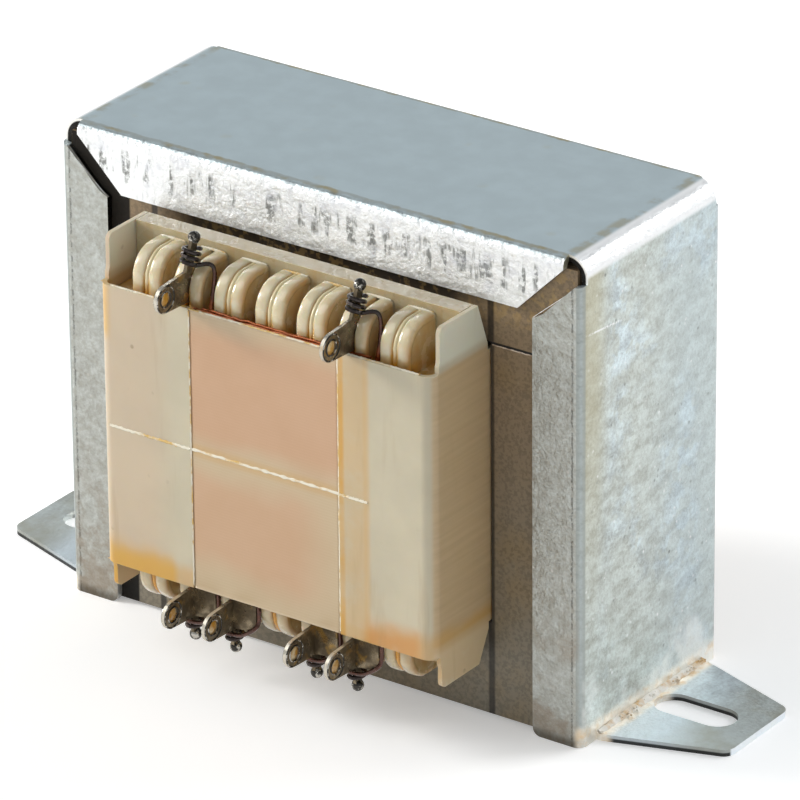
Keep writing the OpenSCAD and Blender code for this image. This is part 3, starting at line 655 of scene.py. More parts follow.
def zinc_edges(f, m, base):
    """Sheared edges, at the mitres and at the ends of the bends over the walls: bright outside,
    with painted shade, near black, where the sheet broke. The bends over the walls get a painted
    white highlight. The side flanges' inner edges get painted shade."""
    b, z, (nx, _, nz) = f.b, f.xyz[2], f.normal
    diagonal = 0.707  # each part of a unit normal that is turned by 45 degrees
    slope = b.times(b.band(b.size(nx), diagonal, 0.2, 0.05),
                    b.band(b.size(nz), diagonal, 0.2, 0.05),
                    b.rest(b.step(z, m.top - 1.7, m.top - 1.4)))
    base = b.paint(base, "F4F2EC", slope)
    # painted shade: the inner part of each mitre end, near black
    base = b.paint(base, "1E1C18", slope, b.rest(b.step(m.ay, m.face - 0.42, m.face - 0.3)))
    # painted shade on the side flanges' inner edges
    base = b.paint(base, "14110E", b.rest(b.step(m.ax, m.wall - 5.6, m.wall - 5.4)), m.side,
                   b.rest(b.step(z, m.top - 7.4, m.top - 7.3)))

    over_x = b.most(b.math("SUBTRACT", m.ax, m.wall - TOP_BEND), 0.0)
    over_z = b.most(b.math("SUBTRACT", z, m.top - TOP_BEND), 0.0)
    # painted highlight: white on the bends over the walls, standing in for the rim lamp's reflection
    base = b.paint(base, "FFFFFF", b.step(over_x, 0.35, 0.9), b.step(over_z, -0.1, 0.6),
                   b.rest(m.front), 0.95)
    away = b.math("SQRT", b.plus(b.math("POWER", over_x, 2.0), b.math("POWER", over_z, 2.0)))
    depth = b.math("SUBTRACT", TOP_BEND, away)
    # the sheet's cut ends at the bends: bright outside, painted shade near black deeper in
    cut = b.times(m.front, b.rest(b.step(m.ay, m.face - 0.5, m.face - 0.4)),
                  b.step(z, m.top - 9, m.top - 8.9))
    return b.mix(cut, base, b.mix(b.step(depth, 0.2, 0.34), shade("F4F2EC"), shade("17140F")))


def zinc_feet(f, m, base):
    """Feet: bluish beside the wall and olive outwards, with painted shade on the front edges and
    a painted highlight on the tips; salts and rust lie along the bend, and pale patches above it."""
    b, (_, y, z), (nx, ny, _) = f.b, f.xyz, f.normal
    foot = b.step(m.ax, m.wall + 0.3, m.wall + 0.8)
    near_side = b.times(foot, b.rest(b.step(y, -6.0, 3.0)))
    base = b.paint(base, "EDF8FF", foot, b.value(near_side, 0.35, 0.8))
    olive = b.patches(f.moved(8, 8, 1), 0.14, 0.36, 0.6)
    base = b.paint(base, "ABA68C", foot, b.step(m.ax, m.wall + 5.0, m.wall + 10.0),
                   b.value(olive, 0.35, 0.7))
    # painted shade on the feet's front edges
    ahead = b.times(foot, b.step(b.times(ny, -1.0), 0.25, 0.5))
    base = b.paint(base, "141412", ahead, b.value(b.rest(b.step(z, 0.35, 0.5)), 0.35, 0.95))
    # painted highlight on the feet's end tips
    base = b.paint(base, "F4FAFF", foot, b.step(b.size(nx), 0.85, 0.95),
                   b.step(m.ax, m.end - 3.5, m.end - 2.5))
    bend = b.times(b.band(m.ax, m.wall + 0.4, 0.6, 1.0), b.rest(b.step(z, 1.5, 2.9)))
    ragged = b.patches(f.moved(3, 8, 1), 0.5, 0.36, 0.6)
    base = b.paint(base, "FFF9EE", bend, b.value(ragged, 0.6, 1.0))
    base = b.paint(base, "DDB266", b.patches(f.moved(6, 2, 9), 0.7, 0.44, 0.72), bend, 0.6)
    return b.paint(base, "FAFCF8", m.side, b.rest(b.step(z, 5.0, 10.0)),
                   b.patches(f.moved(2, 4, 1), 0.16, 0.42, 0.58), 0.6)


def zinc_finish(c):
    """Galvanised sheet: matt and even on the rolled top, scuffed and painted near-white as a
    painted reflection on the front flange, dimpled and spangled on the walls, stained with varnish
    along its edges, with painted shade (very dark brown) and painted highlights at the cut ends
    and bends, and white with salts beside the bends of the feet."""
    f = Finish("galvanised_sheet", Metallic=0.7, Roughness=0.42)
    b, m = f.b, sheet_masks(f)
    base, tone, relief = zinc_walls(f, m, c)
    base, on_top = zinc_top(f, m, c, base)
    base, flange, dark = zinc_top_flange(f, m, base, tone)
    base = zinc_side_flange(f, m, base, flange)
    base = zinc_edges(f, m, base)
    base = zinc_feet(f, m, base)
    rough = b.value(on_top, b.value(tone, 0.32, 0.5), 0.6)
    rough = b.plus(rough, b.times(dark, 0.25), clamp=True)
    return f.close(base, rough, b.times(relief, b.rest(b.times(on_top, 0.93))), 0.16, 1.0)


def steel_finish(c, sizes):
    """Varnished core: browner above the joint, finely specked, a painted shadow of the left side
    flange, painted shade in the recess under the top flange, a dark joint line, and the edges of
    the single sheets as thin lines on every cut face."""
    f = Finish("electrical_steel", Metallic=0.15, Roughness=0.5)
    b, (x, y, z) = f.b, f.xyz
    foot = box_mm("e_laminations")[0][2]
    joint = joint_height(sizes)
    window = box_mm("right_cover")[1][0] + 0.2
    ax = b.size(x)
    face = b.step(b.size(f.normal[1]), 0.6, 0.9)

    base = b.mix(b.step(z, foot + 4, joint + 4), c.steel_low, c.steel)
    cloud = b.patches(f.place, 0.2, 0.35, 0.7)
    base = b.paint(base, "927A50", cloud, 0.4)
    grain = b.patches(f.moved(9, 1, 1), 2.4, 0.42, 0.62)
    base = b.paint(base, "3C342A", grain, 0.3)
    base = b.paint(base, "A89878", b.specks(f.place, 1.3, 0.3, 0.46), 0.55)

    # painted shadow: near black strip that the left side flange casts on the core
    shaded = SIDE_FLANGE + 2.3 - frame_wall()
    painted_flange_shadow = b.times(b.rest(b.step(x, shaded, shaded + 0.3)), face)
    base = b.paint(base, "0B0A0A", painted_flange_shadow, 0.96)
    # painted shade in the recess between the terminal plate and the top flange
    base = b.paint(base, "1A140E", b.step(z, joint + 1.4, joint + 2.4),
                   b.rest(b.step(ax, 16.5, 19.5)), face, 0.85)
    base = b.paint(base, "B8975C", b.patches(f.moved(5, 1, 7), 1.1, 0.5, 0.6),
                   b.step(z, joint + 1, joint + 5), face, b.step(x, -20.0, -10.0), 0.4)
    seam = b.times(b.band(z, joint, 0.1, 0.12), face)
    seam = b.most(seam, b.times(b.band(ax, window, 0.25, 0.3), face, 0.8))
    base = b.mix(seam, base, shade("15110D"))

    sheets = b.size(b.math("SINE", b.times(y, math.pi / SHEET_PITCH)))
    lines = b.times(b.rest(b.step(sheets, 0.1, 0.45)), b.rest(face))
    base = b.paint(base, "241F19", lines, 0.75)
    height = b.math("SUBTRACT", b.times(grain, 0.4), b.plus(seam, lines))
    return f.close(base, b.most(b.value(cloud, 0.55, 0.38), painted_flange_shadow), height, 0.03, 0.5)


def nylon_finish(c, sizes):
    """Bobbin nylon soaked with varnish: pale and waxy, painted amber shade on the right sides of
    the holders, amber varnish in their slots and beneath them, the lower half browner with varnish
    and painted shade, dark specks on the plate and faint flow lines."""
    f = Finish("bobbin_nylon", Roughness=0.32, **{"Subsurface Weight": 0.55,
                                                   "Subsurface Radius": (1.0, 0.62, 0.3),
                                                   "Subsurface Scale": 0.0012, "IOR": 1.5,
                                                   "Coat Weight": 0.8, "Coat Roughness": 0.07})
    b, (x, y, z) = f.b, f.xyz
    upper, _, middle = end_flanges()
    pitch = sizes.holder_pitch / MM
    cell = b.math("DIVIDE", x, pitch)
    off = b.times(b.math("SUBTRACT", cell, b.math("ROUND", cell)), pitch)
    front = b.step(b.size(y), 16.2, 17.4)
    rise = b.math("SUBTRACT", b.size(b.math("SUBTRACT", z, middle)), upper - middle)
    wet = b.patches(f.place, 0.3, 0.3, 0.62)
    base = b.mix(b.patches(f.moved(5, 5, 5), 0.2, 0.35, 0.7), c.nylon,
                 tuple(v * 0.9 for v in c.nylon))
    base = b.paint(base, "EADCB8", front, 0.5)

    # painted shade in amber on the holders' right sides, away from the key lamp; amber varnish in
    # their slots and where they stand on the flange
    painted_shade_flank = b.times(b.step(f.normal[0], 0.3, 0.9), b.value(wet, 0.3, 0.75))
    painted_shade_flank = b.most(painted_shade_flank, b.times(b.step(off, 0.9, 1.9), b.value(wet, 0.1, 0.6)))
    base = b.paint(base, "C4924A", painted_shade_flank, front)
    base = b.paint(base, "D69A34", b.band(off, 0.05, 0.3, 0.4), b.rest(b.step(rise, 2.0, 4.0)),
                   front, b.value(wet, 0.3, 0.9))
    base = b.paint(base, c.amber, b.rest(b.step(rise, 0.5, 2.4)), front,
                   b.value(wet, 0.2, 0.75))

    # the plate behind them is browner, and so is the lower half, partly from varnish and partly as
    # painted shade under the covers
    plate = b.rest(b.step(b.size(y), 16.7, 17.2))
    base = b.paint(base, "C49A52", plate, b.step(rise, 3.2, 5.4),
                   b.patches(f.moved(9, 4, 4), 0.26, 0.42, 0.66), 0.45)
    base = b.paint(base, "9C8D6A", plate, 0.7)
    base = b.paint(base, "5C4420", b.specks(f.moved(3, 1, 9), 0.6, 0.2, 0.55), 0.65)
    # painted shade as well as varnish: the lower row, in the shade of the covers, is browner
    base = b.paint(base, "A98A52", b.rest(b.step(z, middle - 16, middle - 12)),
                   b.value(wet, 0.2, 0.5))
    height = b.plus(b.noise(f.place, 1.2, 3.0), b.times(wet, 0.6))
    return f.close(base, b.value(wet, 0.34, 0.14), height, 0.08, 0.5)


def cover_finish(c):
    """Cover nylon: cream, pinker near the mouth, browner on the side walls where copper
    shows through, a painted highlight on the lips, stained amber in the lower corners, with a
    faint moulding grain."""
    f = Finish("cover_nylon", Roughness=0.4, **{"Subsurface Weight": 0.3,
                                                 "Subsurface Radius": (1.0, 0.62, 0.3),
                                                 "Subsurface Scale": 0.0006, "IOR": 1.5,
                                                 "Coat Weight": 0.2, "Coat Roughness": 0.2})
    b, (x, y, z), (nx, ny, _) = f.b, f.xyz, f.normal
    (left, _, foot), (_, _, top) = box_mm("left_cover")
    (mouth, _, _), (right, _, _) = box_mm("right_cover")
    middle = (foot + top) / 2
    face = b.step(b.size(ny), 0.5, 0.9)
    side = b.step(b.size(nx), 0.6, 0.95)
    lip = b.times(side, b.rest(b.step(b.size(x), 14.0, 15.0)))
    side = b.math("SUBTRACT", side, lip)
    cloud = b.patches(f.place, 0.1, 0.35, 0.68)
    base = b.mix(cloud, c.cover, tuple(v * 0.9 for v in c.cover))
    base = b.paint(base, "D2AF92", b.rest(b.step(x, -16.0, -11.0)), face, 0.35)

    # side walls: copper shows through between the tabs, which are pale; the lips get a painted
    # highlight, near white, on faces that lie in shade
    body = b.times(side, b.band(z, middle, 15.5, 0.8))
    base = b.paint(base, c.cover_side, body, 0.9)
    wires = b.noise(b.node("ShaderNodeCombineXYZ", {0: 0.0, 1: b.times(y, 0.06),
                                                    2: b.times(z, 1.6)}).outputs[0], 1.0, 2.0)
    base = b.paint(base, "7D5B36", wires, body, 0.35)
    tabs = b.times(side, b.step(b.size(b.math("SUBTRACT", z, middle)), 16.2, 17.2))
    base = b.paint(base, "E4E3CE", tabs, 0.8)
    # painted highlight: the lips' edge faces are painted near white
    base = b.paint(base, "FFEBDC", lip, 0.9)

    # amber stains: foot of both covers, left upright edge, band beside the mouth
    depth = b.plus(z, b.times(b.noise(f.moved(2, 2, 2), 0.18, 2.0), 3.0))
    spread = b.patches(f.moved(1, 2, 3), 0.16, 0.3, 0.5)
    stain = b.times(b.rest(b.step(depth, foot + 6.6, foot + 8.8)), spread)
    beside = b.times(b.band(x, mouth + 1.6, 1.7, 0.9), b.value(spread, 0.35, 0.75))
    base = b.paint(base, "D09A3C", b.most(stain, b.times(beside, face)), 0.5)
    deep = b.times(b.band(x, left + 4.5, 4.6, 1.2), b.rest(b.step(depth, foot + 6.4, foot + 9.6)))
    corner = b.times(b.band(x, left, 0.6, 1.4), b.band(z, middle + 13.0, 2.2, 2.0),
                     b.rest(b.step(y, -22.6, -21.0)))
    base = b.paint(base, "D8A32C", b.most(b.times(deep, face), b.times(corner, 0.9)), 0.75)
    honey = b.plus(b.times(b.band(x, mouth + 0.25, 0.15, 0.45), b.value(spread, 0.4, 0.85)),
                   b.times(b.band(x, mouth + 3.6, 0.1, 0.6), 0.2), clamp=True)
    base = b.paint(base, "D6A044", honey, face)
    base = b.paint(base, "D2892E", b.band(x, right - 5.2, 2.6, 2.0),
                   b.rest(b.step(depth, foot + 6.6, foot + 9.4)), face, 0.6)

    base = b.paint(base, "A98A5A", b.streaks(f.moved(4, 4, 4), 0.5, 0.12, 0.58, 0.8), 0.3)
    base = b.paint(base, "7A6238", b.specks(f.place, 0.45, 0.16, 0.56), 0.5)
    height = b.plus(b.noise(f.place, 2.5, 4.0), b.times(cloud, 0.5))
    return f.close(base, b.value(cloud, 0.48, 0.34), height, 0.03, 0.3)


def film_finish(c):
    """Tape over the coil: pink where the copper of a chamber glows through, creamy at the
    chamber's ends, with faint level lines of wire and creases that run round it."""
    f = Finish("wrap_film", Roughness=0.34, **{"IOR": 1.5, "Coat Weight": 0.25,
                                                "Coat Roughness": 0.2})
    b, (x, y, z) = f.b, f.xyz
    up, low = (sum(corner[2] for corner in box_mm(wrap)) / 2
               for wrap in ("primary_wrap", "secondary_wrap"))
    wander = b.times(b.noise(f.moved(3, 3, 3), 0.12, 2.0), 4.0)
    shifted = b.plus(z, b.math("SUBTRACT", wander, 2.0))
    upper = b.band(shifted, up + 0.8, 4.6, 3.4)
    lower = b.times(b.band(shifted, low - 0.6, 3.6, 3.8), b.rest(b.step(x, 3.0, 9.5)))
    pink = b.plus(b.times(upper, 0.95), b.times(lower, 0.8), clamp=True)
    base = b.mix(pink, shade("CDB794"), c.film)
    turns = b.size(b.math("SINE", b.times(z, math.pi / 0.34)))
    base = b.paint(base, "9A6A44", turns, 0.07)
    cloud = b.patches(f.place, 0.16, 0.35, 0.7)
    base = b.paint(base, "B98C62", cloud, 0.14)
    base = b.paint(base, c.amber, b.band(z, (up + low) / 2, 0.3, 0.9), 0.3)
    crease = b.noise(b.node("ShaderNodeCombineXYZ", {0: b.times(x, 0.08), 1: y,
                                                     2: b.times(z, 0.9)}).outputs[0], 1.0, 3.0)
    height = b.plus(b.times(turns, 0.12), crease)
    return f.close(base, b.value(cloud, 0.3, 0.42), height, 0.04, 0.35)


def copper_finish(c, name, dark):
    """Enamelled copper: turns as level stripes, with darker enamel in between."""
    f = Finish(name, Metallic=0.75, Roughness=0.3, **{"Coat Weight": 0.5,
                                                       "Coat Roughness": 0.1})
    b = f.b
    turns = b.size(b.math("SINE", b.times(f.xyz[2], math.pi / WIRE)))
    base = b.paint(c.copper, "5A2A12", turns, dark)
    soot = b.patches(f.place, 0.9, 0.42, 0.66)
    base = b.paint(base, "2C1A10", soot, dark)
    return f.close(base, b.value(soot, 0.24, 0.5), b.noise(f.place, 3.0, 2.0), 0.02, 0.4)


def lead_finish(c):
    """Lead wire: dark with varnish and flux on its turns, darkened beyond the cover rims by dark
    enamel and painted shade, copper bright along its run.
    """
    f = Finish("enamelled_lead", Metallic=0.8, Roughness=0.28, **{"Coat Weight": 0.6,
                                                                   "Coat Roughness": 0.08})
    b, z = f.b, f.xyz[2]
    soot = b.patches(f.place, 1.4, 0.35, 0.6)
    base = b.paint(c.copper, "6B3314", soot, 0.35)
    # partly painted shade: the leads in the channels beyond the cover rims are darkened, with dark
    # enamel as well
    past = b.most(b.step(z, 44.0, 45.6), b.rest(b.step(z, 12.0, 14.0)))
    base = b.paint(base, "33211F", past, 0.88)
    wound = b.most(b.step(z, 48.0, 48.6), b.rest(b.step(z, 5.8, 6.8)))
    base = b.paint(base, "26221F", wound, 0.88)
    return f.close(base, b.value(soot, 0.2, 0.4), soot, 0.02, 0.5)


def tag_finish(c):
    """Tinned tag: grey-brown with flux, a painted highlight on its cut edges, and painted shade on
    the forward faces of its plates.
    """
    f = Finish("tinned_tag", Metallic=0.8, Roughness=0.3)
    b, (nx, ny, _) = f.b, f.normal
    flux = b.patches(f.place, 0.8, 0.35, 0.62)
    base = b.paint(c.tag, "5F523C", flux, 0.75)
    tip = b.rest(b.step(f.xyz[1], -24.6, -24.0))
    # painted highlight on the cut edges, stronger towards the eyelet
    base = b.paint(base, "E4DED0", b.rest(b.step(b.size(nx), 0.3, 0.8)), b.value(tip, 0.15, 0.7))
    # painted shade on the forward faces of the plates behind the eyelet
    ahead = b.times(b.step(b.times(ny, -1.0), 0.5, 0.9), b.rest(tip), 0.8)
    base = b.mix(ahead, base, b.mix(flux, shade("85775F"), shade("574A36")))
    base = b.paint(base, "C89A3C", b.patches(f.moved(2, 7, 1), 0.5, 0.56, 0.7), 0.5)
    return f.close(base, b.value(flux, 0.22, 0.5), b.noise(f.place, 3.0, 3.0), 0.03, 0.5)


def solder_finish(c):
    """Solder: bright, frosted in patches."""
    f = Finish("tin_solder", Metallic=0.85, Roughness=0.2)
    b = f.b
    frost = b.patches(f.place, 1.5, 0.42, 0.5)
    base = b.paint(c.solder, "1E1B17", frost, 0.92)
    return f.close(base, b.value(frost, 0.07, 0.16), frost, 0.08, 1.0)


def two_tone(f, mask, colours, roughness, grain, distance=0.05, strength=0.5):
    """Closes a finish that goes from one colour and roughness to another where a mask is
    high, over a fine grain given by its scale, detail and unevenness."""
    b = f.b
    return f.close(b.mix(mask, *colours), b.value(mask, *roughness), b.noise(f.place, *grain),
                   distance, strength)


def varnish_finish(c):
    """Amber varnish: deep gold, thin and pale in places, glossy."""
    f = Finish("amber_varnish", Roughness=0.1, **{"IOR": 1.5, "Coat Weight": 0.8,
                                                   "Coat Roughness": 0.04})
    return two_tone(f, f.b.patches(f.place, 0.8, 0.4, 0.66), (c.amber, shade("F0DCAE")),
                    (0.08, 0.2), (1.4, 3.0))


def milky_finish():
    """Thin varnish along an edge: milky white, honey-coloured in patches, glossy."""
    f = Finish("milky_varnish", Roughness=0.12, **{"IOR": 1.5, "Coat Weight": 0.7,
                                                    "Coat Roughness": 0.05})
    return two_tone(f, f.b.patches(f.place, 0.5, 0.44, 0.64),
                    (shade("F2EAD4"), shade("DDB668")), (0.08, 0.22), (1.1, 3.0))


def slot_finish(level):
    """Varnish in the slots of the holders: milky at the top, deep orange low down."""
    f = Finish("slot_varnish", Roughness=0.16, **{"IOR": 1.5, "Coat Weight": 0.6,
                                                   "Coat Roughness": 0.06})
    b = f.b
    thin = b.noise(f.place, 0.7, 3.0)
    rise = b.plus(f.xyz[2], b.times(thin, 1.6))
    base = b.mix(b.rest(b.step(rise, level + 1.4, level + 3.4)), shade("E2D3A8"),
                 shade("DB9A30"))
    return f.close(base, b.value(thin, 0.1, 0.26), thin, 0.05, 0.5)


def burr_finish():
    """Rough zinc where the sheet was bent: white salts broken by rust."""
    f = Finish("rough_zinc", Roughness=0.7)
    rust = f.b.step(f.b.noise(f.moved(0, 3, 0), 0.55, 4.0, 0.6), 0.42, 0.72)
    return two_tone(f, rust, (shade("FFFBF2"), shade("DDB064")), (0.6, 0.85), (2.4, 4.0, 0.6),
                    0.05, 0.6)


def edge_finish():
    """Sheared edge of the zinc sheet: burnished white, duller in places."""
    f = Finish("sheared_edge", Metallic=0.1, Roughness=0.4)
    return two_tone(f, f.b.patches(f.place, 0.7, 0.48, 0.66),
                    (shade("FFFFFF"), shade("CFCBC0")), (0.3, 0.5), (4.0, 2.0), 0.02, 0.4)


def bare_finish():
    """Bare bright edge of a steel sheet, pinkish under its varnish."""
    f = Finish("bare_edge", Metallic=0.5, Roughness=0.35)
    return two_tone(f, f.b.patches(f.place, 0.9, 0.4, 0.66),
                    (shade("EBDCCB"), shade("B49A80")), (0.3, 0.5), (4.0, 2.0), 0.02, 0.4)


def shared(name, make, colours):
    """The material of that name, made the first time that it is asked for."""
    return bpy.data.materials.get(name) or make(colours)


# ---------- shapes of this part ----------

def uneven(count, width, share, pitch, seed, end=None):
    """Half widths along a bead: a width that swells and shrinks by a share in smooth waves.
    With an end value it also tapers, as a power of the sine of the place along it."""
    t = np.linspace(0, 1, count)
    widths = width * (1 + share * waves(t * pitch, seed))
    if end is None:
        return widths
    return widths * np.sin(np.pi * (end + (1 - 2 * end) * t)) ** 0.4


def rib_path(flange, sign, centre, rise, radius, plate):
    """Path over a rib's edge, and its outward directions, as points of y and z: up the front
    from the end flange, round a quarter of the circle about the rib's centre, and back to the
    plate. Sign is 1 for the upper row and -1 for the lower one."""
    z0 = flange + sign * rise
    a = np.linspace(0, np.pi / 2, 14)
    up = np.linspace(flange + sign * 0.1, z0, 6)[:-1]
    back = np.linspace(centre, plate, 5)[1:]
    front, top = np.ones(len(up)), np.ones(len(back))
    path = np.stack([
        np.concatenate([front * (centre - radius), centre - radius * np.cos(a), back]),
        np.concatenate([up, z0 + sign * radius * np.sin(a), top * (z0 + sign * radius)])], -1)
    out = np.stack([np.concatenate([-front, -np.cos(a), top * 0]),
                    np.concatenate([front * 0, sign * np.sin(a), top * sign])], -1)
    return path, out


def crown(x, path, turned, half, seed, around=16):
    """Rounded crown along a rib's path: across it the rounded box where the 3.5th powers of
    width and height add to one, sunk by half its height. Turned is -1 for the rear."""
    base, out = path
    t = np.linspace(0, 1, len(base))
    a = np.arange(around) / around * 2 * np.pi
    power = 2 / 3.5
    wide = (half + 0.03) * np.sign(np.cos(a)) * np.abs(np.cos(a)) ** power
    tall = np.sign(np.sin(a)) * np.abs(np.sin(a)) ** power
    swell = 0.5 * (1 + 0.08 * waves(t * 2, seed))
    off = -0.25 + swell[:, None] * tall[None, :]
    points = np.stack([np.broadcast_to(x + wide, off.shape),
                       base[:, :1] + off * out[:, :1],
                       base[:, 1:] + off * out[:, 1:]], axis=-1).reshape(-1, 3)
    return points * [1, turned, 1], grid_faces(len(t), around).tolist() + caps(len(t), around)


def tape(x0, x1, z0, z1, y, sign, seed, columns=46, rows=70, thick=0.05):
    """Thin sheet in the plane y, turned to the back for sign -1: its front sinks and
    swells by products of smooth waves along x and z, and its top edge wavers."""
    u, v = np.linspace(0, 1, columns), np.linspace(0, 1, rows)
    x = np.broadcast_to(x0 + (x1 - x0) * u[None, :], (rows, columns))
    top = z1 + 0.04 * waves(u * 2, seed)
    z = z0 + (top[None, :] - z0) * v[:, None]
    swell = 0.02 * waves(v, seed + 2)[:, None] * (1 + waves(u, seed + 3)[None, :])
    front = np.stack([x, y - 0.01 + swell, z], axis=-1)
    back = front + [0, thick, 0]
    loop = np.concatenate([front, back[:, ::-1]], axis=1)
    points = loop.reshape(-1, 3) * [1, sign, 1]
    faces = grid_faces(rows, 2 * columns).tolist()
    k = np.arange(columns - 1)
    for row in (0, rows - 1):
        start = row * 2 * columns
        cap = np.stack([start + k, start + k + 1, start + 2 * columns - 2 - k,
                        start + 2 * columns - 1 - k], axis=-1)
        faces += (cap if row == 0 else cap[:, ::-1]).tolist()
    return points, faces


# ---------- operators ----------

class TRANSFORMER_OT_clamp_frame(bpy.types.Operator):
    """Finish the clamp frame in galvanised sheet, with rough bends at its feet and sheared mitres"""
    bl_idname = "transformer.clamp_frame"
    bl_label = "Clamp frame"

    def execute(self, context):
        dress(zinc_finish(settings()[1]), "clamp_frame")
        rough = [part for side, seed in ((-1, 3), (1, 5)) for part in self.foot_bend(side, seed)]
        piece("bend_roughness", rough, burr_finish())
        mitres = [self.mitre(side, turned) for side in (-1, 1) for turned in (-1, 1)]
        piece("mitre_edges", mitres, edge_finish())
        return {"FINISHED"}

    @staticmethod
    def foot_bend(side, seed, reach=10.2, rise=0.95, count=110, crumbs=50):
        """Low bead along a foot's bend, and crumbs scattered beside it. The bead's width is a
        wave tapered by a power of a sine."""
        wall = frame_wall()
        t = np.linspace(0, 1, count)
        path = line((side * (wall + 0.3), -reach, rise), (side * (wall + 0.3), reach, rise), count)
        path[:, 0] += side * 0.08 * waves(t * 2, seed + 1)
        taper = np.sin(np.pi * (0.04 + 0.92 * t)) ** 0.3
        width = (0.5 + 0.14 * waves(t * 2, seed)) * taper
        parts = [bead(path, (0.8, 0, -0.6 * side), (0.6 * side, 0, 0.8), width, width * 0.26, 10)]
        draw = np.random.default_rng(seed)
        for k in range(crumbs):
            size = draw.uniform(0.07, 0.2)
            along, out = draw.uniform(-reach, reach), draw.normal(0.35, 0.3)
            place = (side * (wall + max(out, 0.05)), along, rise + 0.25 * draw.random())
            parts.append(drop(place, (size, size * 1.3, size * 0.8), 300 + k, 5, 8))
        return parts

    @staticmethod
    def mitre(side, turned, below=7.8, run=5.3, slope=0.85, count=50):
        """Bright line up the sloping end of a side flange, just under the flange's face. It
        starts at the flange's inner edge, below the top."""
        _, face, top = box_mm("clamp_frame")[1]
        x, y, z = frame_wall() - SIDE_FLANGE + 0.05, turned * (face - 0.06), top - below
        path = line((side * x, y, z), (side * (x + run), y, z + run * slope), count)
        width = 0.13 + 0.04 * waves(np.linspace(0, 1, count) * 3, 7 + side)
        return bead(path, (0.6 * side, 0, 0.8), Y, width, 0.05, 8)


class TRANSFORMER_OT_core(bpy.types.Operator):
    """Finish the laminations and add the bright burr under the joint of E and I sheets"""
    bl_idname = "transformer.core"
    bl_label = "Core"

    def execute(self, context):
        sizes, colours, _ = settings()
        dress(steel_finish(colours, sizes), "e_laminations", "i_laminations")
        face = box_mm("e_laminations")[0][1]
        z = joint_height(sizes) - 0.2
        inner = box_mm("right_cover")[1][0] + 0.4
        outer = frame_wall() - SIDE_FLANGE - 0.1
        count = 40
        t = np.linspace(0, 1, count)
        parts = []
        for side, seed in ((-1, 11), (1, 12)):
            path = line((side * inner, face, z), (side * outer, face, z), count)
            path[:, 2] += 0.04 * waves(t * 2, seed)
            height = 0.07 + 0.03 * waves(t * 3, seed + 4)
            parts.append(bead(path, Z, Y, height, 0.05, 8))
        piece("joint_burrs", parts, bare_finish())
        return {"FINISHED"}


class TRANSFORMER_OT_bobbin(bpy.types.Operator):
    """Finish the bobbin, round its ribs and fill the slots of its holders with pooled varnish"""
    bl_idname = "transformer.bobbin"
    bl_label = "Bobbin"

    def execute(self, context):
        sizes, colours, _ = settings()
        nylon = nylon_finish(colours, sizes)
        dress(nylon, "bobbin")
        upper, lower, _ = end_flanges()
        radius = sizes.rib_radius / MM
        half = sizes.holder_slot / MM / 2
        rise = sizes.flange_to_rib / MM
        centre = box_mm("bobbin")[0][1] + RIB_INSET + radius
        plate = plate_face()
        rows = ((upper, 1, UPPER_TAGS), (lower, -1, LOWER_TAGS))

        parts = []
        for row, (flange, sign, tags) in enumerate(rows):
            tagged = {tag_holder(name, sizes) for name in tags}
            for k, x in enumerate(holder_places(sizes)):
                for turned in (1, -1):
                    if turned > 0 and k in tagged:
                        continue
                    path = rib_path(flange, sign, centre, rise, radius - 0.12, plate)
                    parts.append(crown(x, path, turned, half, 20 + k + 10 * row, 8))
        piece("slot_varnish", parts, slot_finish(upper))

        rib = sizes.rib_thickness / MM
        parts = []
        for flange, sign, _ in rows:
            path = rib_path(flange, sign, centre, rise, radius, plate)
            for k, x in enumerate(holder_places(sizes)):
                for side in (-1, 1):
                    for turned in (1, -1):
                        parts.append(crown(x + side * (half + rib / 2), path, turned, rib / 2,
                                           90 + k + 7 * side))
        piece("rib_crowns", parts, nylon)
        return {"FINISHED"}


class TRANSFORMER_OT_covers(bpy.types.Operator):
    """Finish both covers"""
    bl_idname = "transformer.covers"
    bl_label = "Covers"

    def execute(self, context):
        dress(cover_finish(settings()[1]), "left_cover", "right_cover")
        return {"FINISHED"}


class TRANSFORMER_OT_windings(bpy.types.Operator):
    """Finish the windings and their film, and lay the closing tape between the covers"""
    bl_idname = "transformer.windings"
    bl_label = "Windings"

    def execute(self, context):
        sizes, colours, _ = settings()
        film = film_finish(colours)
        dress(film, "primary_wrap", "secondary_wrap")
        dress(copper_finish(colours, "copper_wire", 0.55), "primary_winding",
              "secondary_winding")
        upper, lower, _ = end_flanges()
        left, right = cover_lips()
        face = box_mm("left_cover")[0][1] + TAPE_INSET
        rim = sizes.cover_rim / MM
        parts = [tape(left + 0.03, right - 0.03, lower - rim, upper + rim - 0.05, face, sign,
                      70 + sign) for sign in (1, -1)]
        piece("closing_tape", parts, film)
        return {"FINISHED"}


